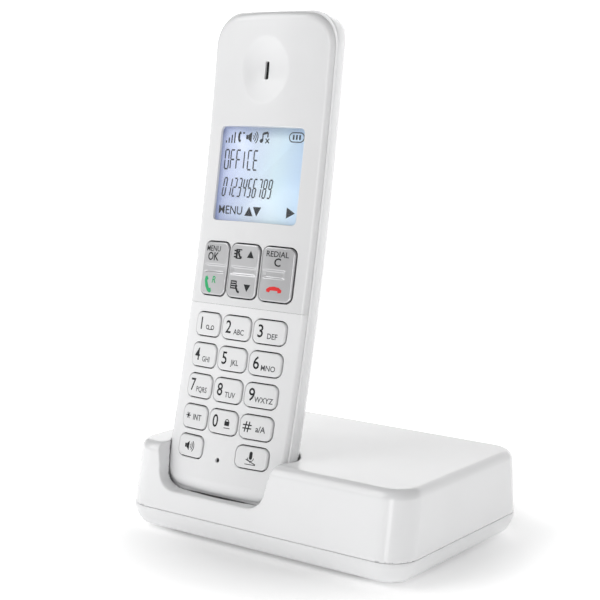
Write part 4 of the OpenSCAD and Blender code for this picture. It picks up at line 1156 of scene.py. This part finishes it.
def buildTray():
    skin = Skin()
    w, d = base["w"] / 2, base["d"] / 2
    # the tray's wall from its upper edge down to its floor: (inwards, height)
    profile = [(1.4, base["seam"]), (0.35, base["seam"]), (0.1, 7.5), (0.0, 7.25), (0.0, 6.6), (0.14, 5.9),
               (0.42, 5.0), (0.75, 4.1), (1.15, 3.3), (1.65, 2.45), (2.2, 1.75), (2.75, 1.2), (3.2, 0.9),
               (3.9, base["foot"])]
    last = None
    for inset, z in profile:
        loop = roundLoop(-w + inset, w - inset, -d + inset, d - inset, base["round"] - inset, arc=12,
                         step=200)[0]
        ring = skin.add(loop[:, 0], loop[:, 1], np.full(len(loop), z))
        if last:
            skin.join(last, ring, flip=True)
        else:
            topLoop = loop
        last = ring
    screws = [circleLoop(x, y, 2.4, 24) for x, y in baseScrews]
    verts, tris = fillFlat(loop, [s + o * 0.15 for s, o in screws], 9.0)
    skin.patch(verts, tris, np.full(len(verts), base["foot"]), flip=True)
    for s, o in screws:
        steps = [(0.15, 0), (0.03, 0.08), (0, 0.2), (0, 1.6)]
        skin.close(skin.rim(s, o, steps, lambda x, y: 0 * x + base["foot"]), flip=False)
    verts, tris = fillFlat(topLoop, [], 12.0)
    skin.patch(verts, tris, np.full(len(verts), base["seam"]))
    return skin


wellEdge = handset["x"] + handset["width"] / 2 + base["clear"] + base["wall"] + base["bossGap"]
baseScrews = [(-base["w"] / 2 + 8.5, base["d"] / 2 - 8), (base["w"] / 2 - 8.5, base["d"] / 2 - 8),
              (base["w"] / 2 - 8.5, -base["d"] / 2 + 10), (wellEdge + 3, -base["d"] / 2 + 10)]
tray = buildTray().mesh("baseTrayShell", "base", "trayWhite", "pale_panel", place=onBase)
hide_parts("base_tray")


# a turned piece: a profile of (radius, height) spun about an axis
def turned(name, profile, at, axis, body, look, slotName):
    count = 40
    spin = Vector(axis).normalized().to_track_quat("Z", "Y").to_matrix()
    verts = []
    for r, h in profile:
        for i in range(count):
            a = 2 * math.pi * i / count
            verts.append((Vector(at) + spin @ Vector((r * math.cos(a), r * math.sin(a), h))) * 0.001)
    piece = addPiece(name, verts, tubeFaces(count, len(profile)), body, look, slotName)
    weighNormals(piece, 35)
    return piece


for i, (sx, sy) in enumerate(((-1, -1), (1, -1), (1, 1), (-1, 1))):
    foot = turned(f"foot_{i + 1}", [(3.6, 0.0), (4.2, 0.08), (4.5, 0.35), (4.5, 0.95)],
                  (sx * (base["w"] / 2 - base["feetIn"][0]), sy * (base["d"] / 2 - base["feetIn"][1]), 0),
                  (0, 0, 1), "base", "greyRubber", "grey_rubber")
    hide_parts("base_feet")
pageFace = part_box("page_key")[1].y * 1000
pageProfile = [(3.4, 8), (4.5, 8), (4.5, 0.45), (4.3, 0.12), (3.9, 0), (3.3, 0.08), (1.5, 0.22), (0.4, 0.25)]
page = turned("pageKeyCap", [(r, pageFace - below) for r, below in pageProfile],
              (base["pageX"], 0, base["pageZ"]), (0, 1, 0), "page_key_body", "keySilver", "silver_keys")
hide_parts("page_key")
print("base built")

# finishes of the inner parts, whose CAD nodes stay
stay = {"blackPlastic": ["earpiece_speaker", "microphone", "ringer_speaker", "power_jack", "page_switch"],
        "felt": ["earpiece_felt"], "greyRubber": ["keypad_mat"], "milkyGuide": ["lcd_backlight"],
        "solderMask": ["handset_circuit_board", "base_circuit_board"],
        "nickel": ["handset_rf_shield", "battery_springs", "battery_plates", "handset_charge_contacts",
                   "base_rf_shield", "base_antennas", "cradle_contacts"],
        "cellSleeve": ["battery_cell_left", "battery_cell_right"], "darkSleeve": ["base_capacitors"],
        "screwSteel": ["handset_screws", "base_screws"], "ivorySocket": ["line_jack"]}
for look, names in stay.items():
    for name in names:
        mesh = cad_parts[name].data
        mesh.materials.clear()
        mesh.materials.append(looks[look])
print("inner parts finished")

# floor, light and camera
studio = dict(floorZ=-0.0004, key=7.0, fill=0.2, front=1.8, world=0.22,
              # glow stops (distance, strength): dim near the middle as a painted shadow round the base
              glowAndPaintedShadow=[(0.0, 0.1), (0.045, 0.1), (0.08, 0.55), (1.3, 0.9)],
              horizon=1.05, low=0.07, high=0.17)
bpy.context.scene.view_settings.view_transform = "Standard"


def floorLook():
    mat, shader, coords = startLook("paleFloor", {"Roughness": 0.7, "Specular IOR Level": 0.2,
                                                  "Emission Color": (1, 1, 1, 1)})
    # painted shadow: the sweep's glow is kept low near the middle, so a soft shadow shows round the base, and
    # rises away from it, where the lamps no longer reach
    away = addNode(mat, "VectorMath")
    away.operation = "LENGTH"
    join(mat, coords, "Object", away, 0)
    span = studio["glowAndPaintedShadow"][-1][0]
    reach = addNode(mat, "MapRange", {"From Max": span})
    join(mat, away, "Value", reach, "Value")
    glowAndPaintedShadow = addNode(mat, "ValToRGB")
    fillRamp(glowAndPaintedShadow, [(at / span, (level, level, level)) for at, level in studio["glowAndPaintedShadow"]])
    join(mat, reach, "Result", glowAndPaintedShadow, "Fac")
    join(mat, glowAndPaintedShadow, "Color", shader, "Emission Strength")
    tint = addNode(mat, "ValToRGB")
    fillRamp(tint, [(0.0, (0.93, 0.93, 0.93)), (1.0, (0.95, 0.95, 0.95))])
    join(mat, addNoise(mat, coords, {"Scale": 3.0}), "Fac", tint, "Fac")
    join(mat, tint, "Color", shader, "Base Color")
    return mat


looks["paleFloor"] = floorLook()
bm = bmesh.new()
sweep = [(-6.0, 0.0), (3.0, 0.0), (4.5, 0.25), (5.2, 1.0), (5.5, 2.2), (5.6, 5.0)]
for y, z in sweep:
    for x in (-8.0, 8.0):
        bm.verts.new((x, y, z + studio["floorZ"]))
bm.verts.ensure_lookup_table()
for i in range(len(sweep) - 1):
    bm.faces.new([bm.verts[2 * i], bm.verts[2 * i + 1], bm.verts[2 * i + 3], bm.verts[2 * i + 2]])
mesh = bpy.data.meshes.new("floor")
bm.to_mesh(mesh)
bm.free()
mesh.polygons.foreach_set("use_smooth", [True] * len(mesh.polygons))
mesh.materials.append(looks["paleFloor"])
floor = addObject("floor", mesh)


def areaLight(name, at, look, size, power):
    data = bpy.data.lights.new(name, "AREA")
    data.shape = "RECTANGLE"
    data.size, data.size_y = size
    data.energy = power
    lamp = addObject(name, data)
    lamp.location = at
    lamp.rotation_euler = (Vector(look) - Vector(at)).to_track_quat("-Z", "Y").to_euler()


areaLight("keyLight", (-0.75, -0.7, 0.9), (0, 0, 0.07), (1.0, 1.0), studio["key"])
areaLight("topLight", (0.1, 0.25, 1.2), (0, 0, 0.05), (0.9, 0.7), studio["fill"])
areaLight("frontLight", (0.36, -1.1, 0.3), (0, 0, 0.06), (0.28, 0.6), studio["front"])
world = bpy.data.worlds.new("studio")
world.use_nodes = True
sky = world.node_tree.nodes["Background"]
setInputs(sky, {"Color": (1, 1, 1, 1)})
# a bright band low round the horizon, dimmer overhead
apart = addNode(world, "SeparateXYZ")
join(world, addNode(world, "TexCoord"), "Generated", apart, "Vector")
band = addNode(world, "MapRange", {"From Min": studio["low"], "From Max": studio["high"],
                                   "To Min": studio["horizon"], "To Max": studio["world"]})
join(world, apart, "Z", band, "Value")
join(world, band, "Result", sky, "Strength")
bpy.context.scene.world = world

view = dict(target=(-12.36, 1.85, 75.40), distance=461.83, azimuth=35.882, elevation=8.193, roll=0.858,
            lens=82.86)
a, e, roll = (math.radians(view[k]) for k in ("azimuth", "elevation", "roll"))
backward = Vector((math.sin(a) * math.cos(e), -math.cos(a) * math.cos(e), math.sin(e)))
right = (-backward).cross(Vector((0, 0, 1))).normalized()
up = right.cross(-backward)
right, up = math.cos(roll) * right + math.sin(roll) * up, -math.sin(roll) * right + math.cos(roll) * up
lens = bpy.data.cameras.new("camera")
lens.lens = view["lens"]
lens.sensor_width = 36.0
lens.clip_start, lens.clip_end = 0.01, 30
camera = addObject("camera", lens)
turnBy = Matrix((right, up, backward)).transposed().to_4x4()
stand = (Vector(view["target"]) + backward * view["distance"]) * 0.001
camera.matrix_world = Matrix.Translation(stand) @ turnBy
bpy.context.scene.camera = camera
print("stage set")
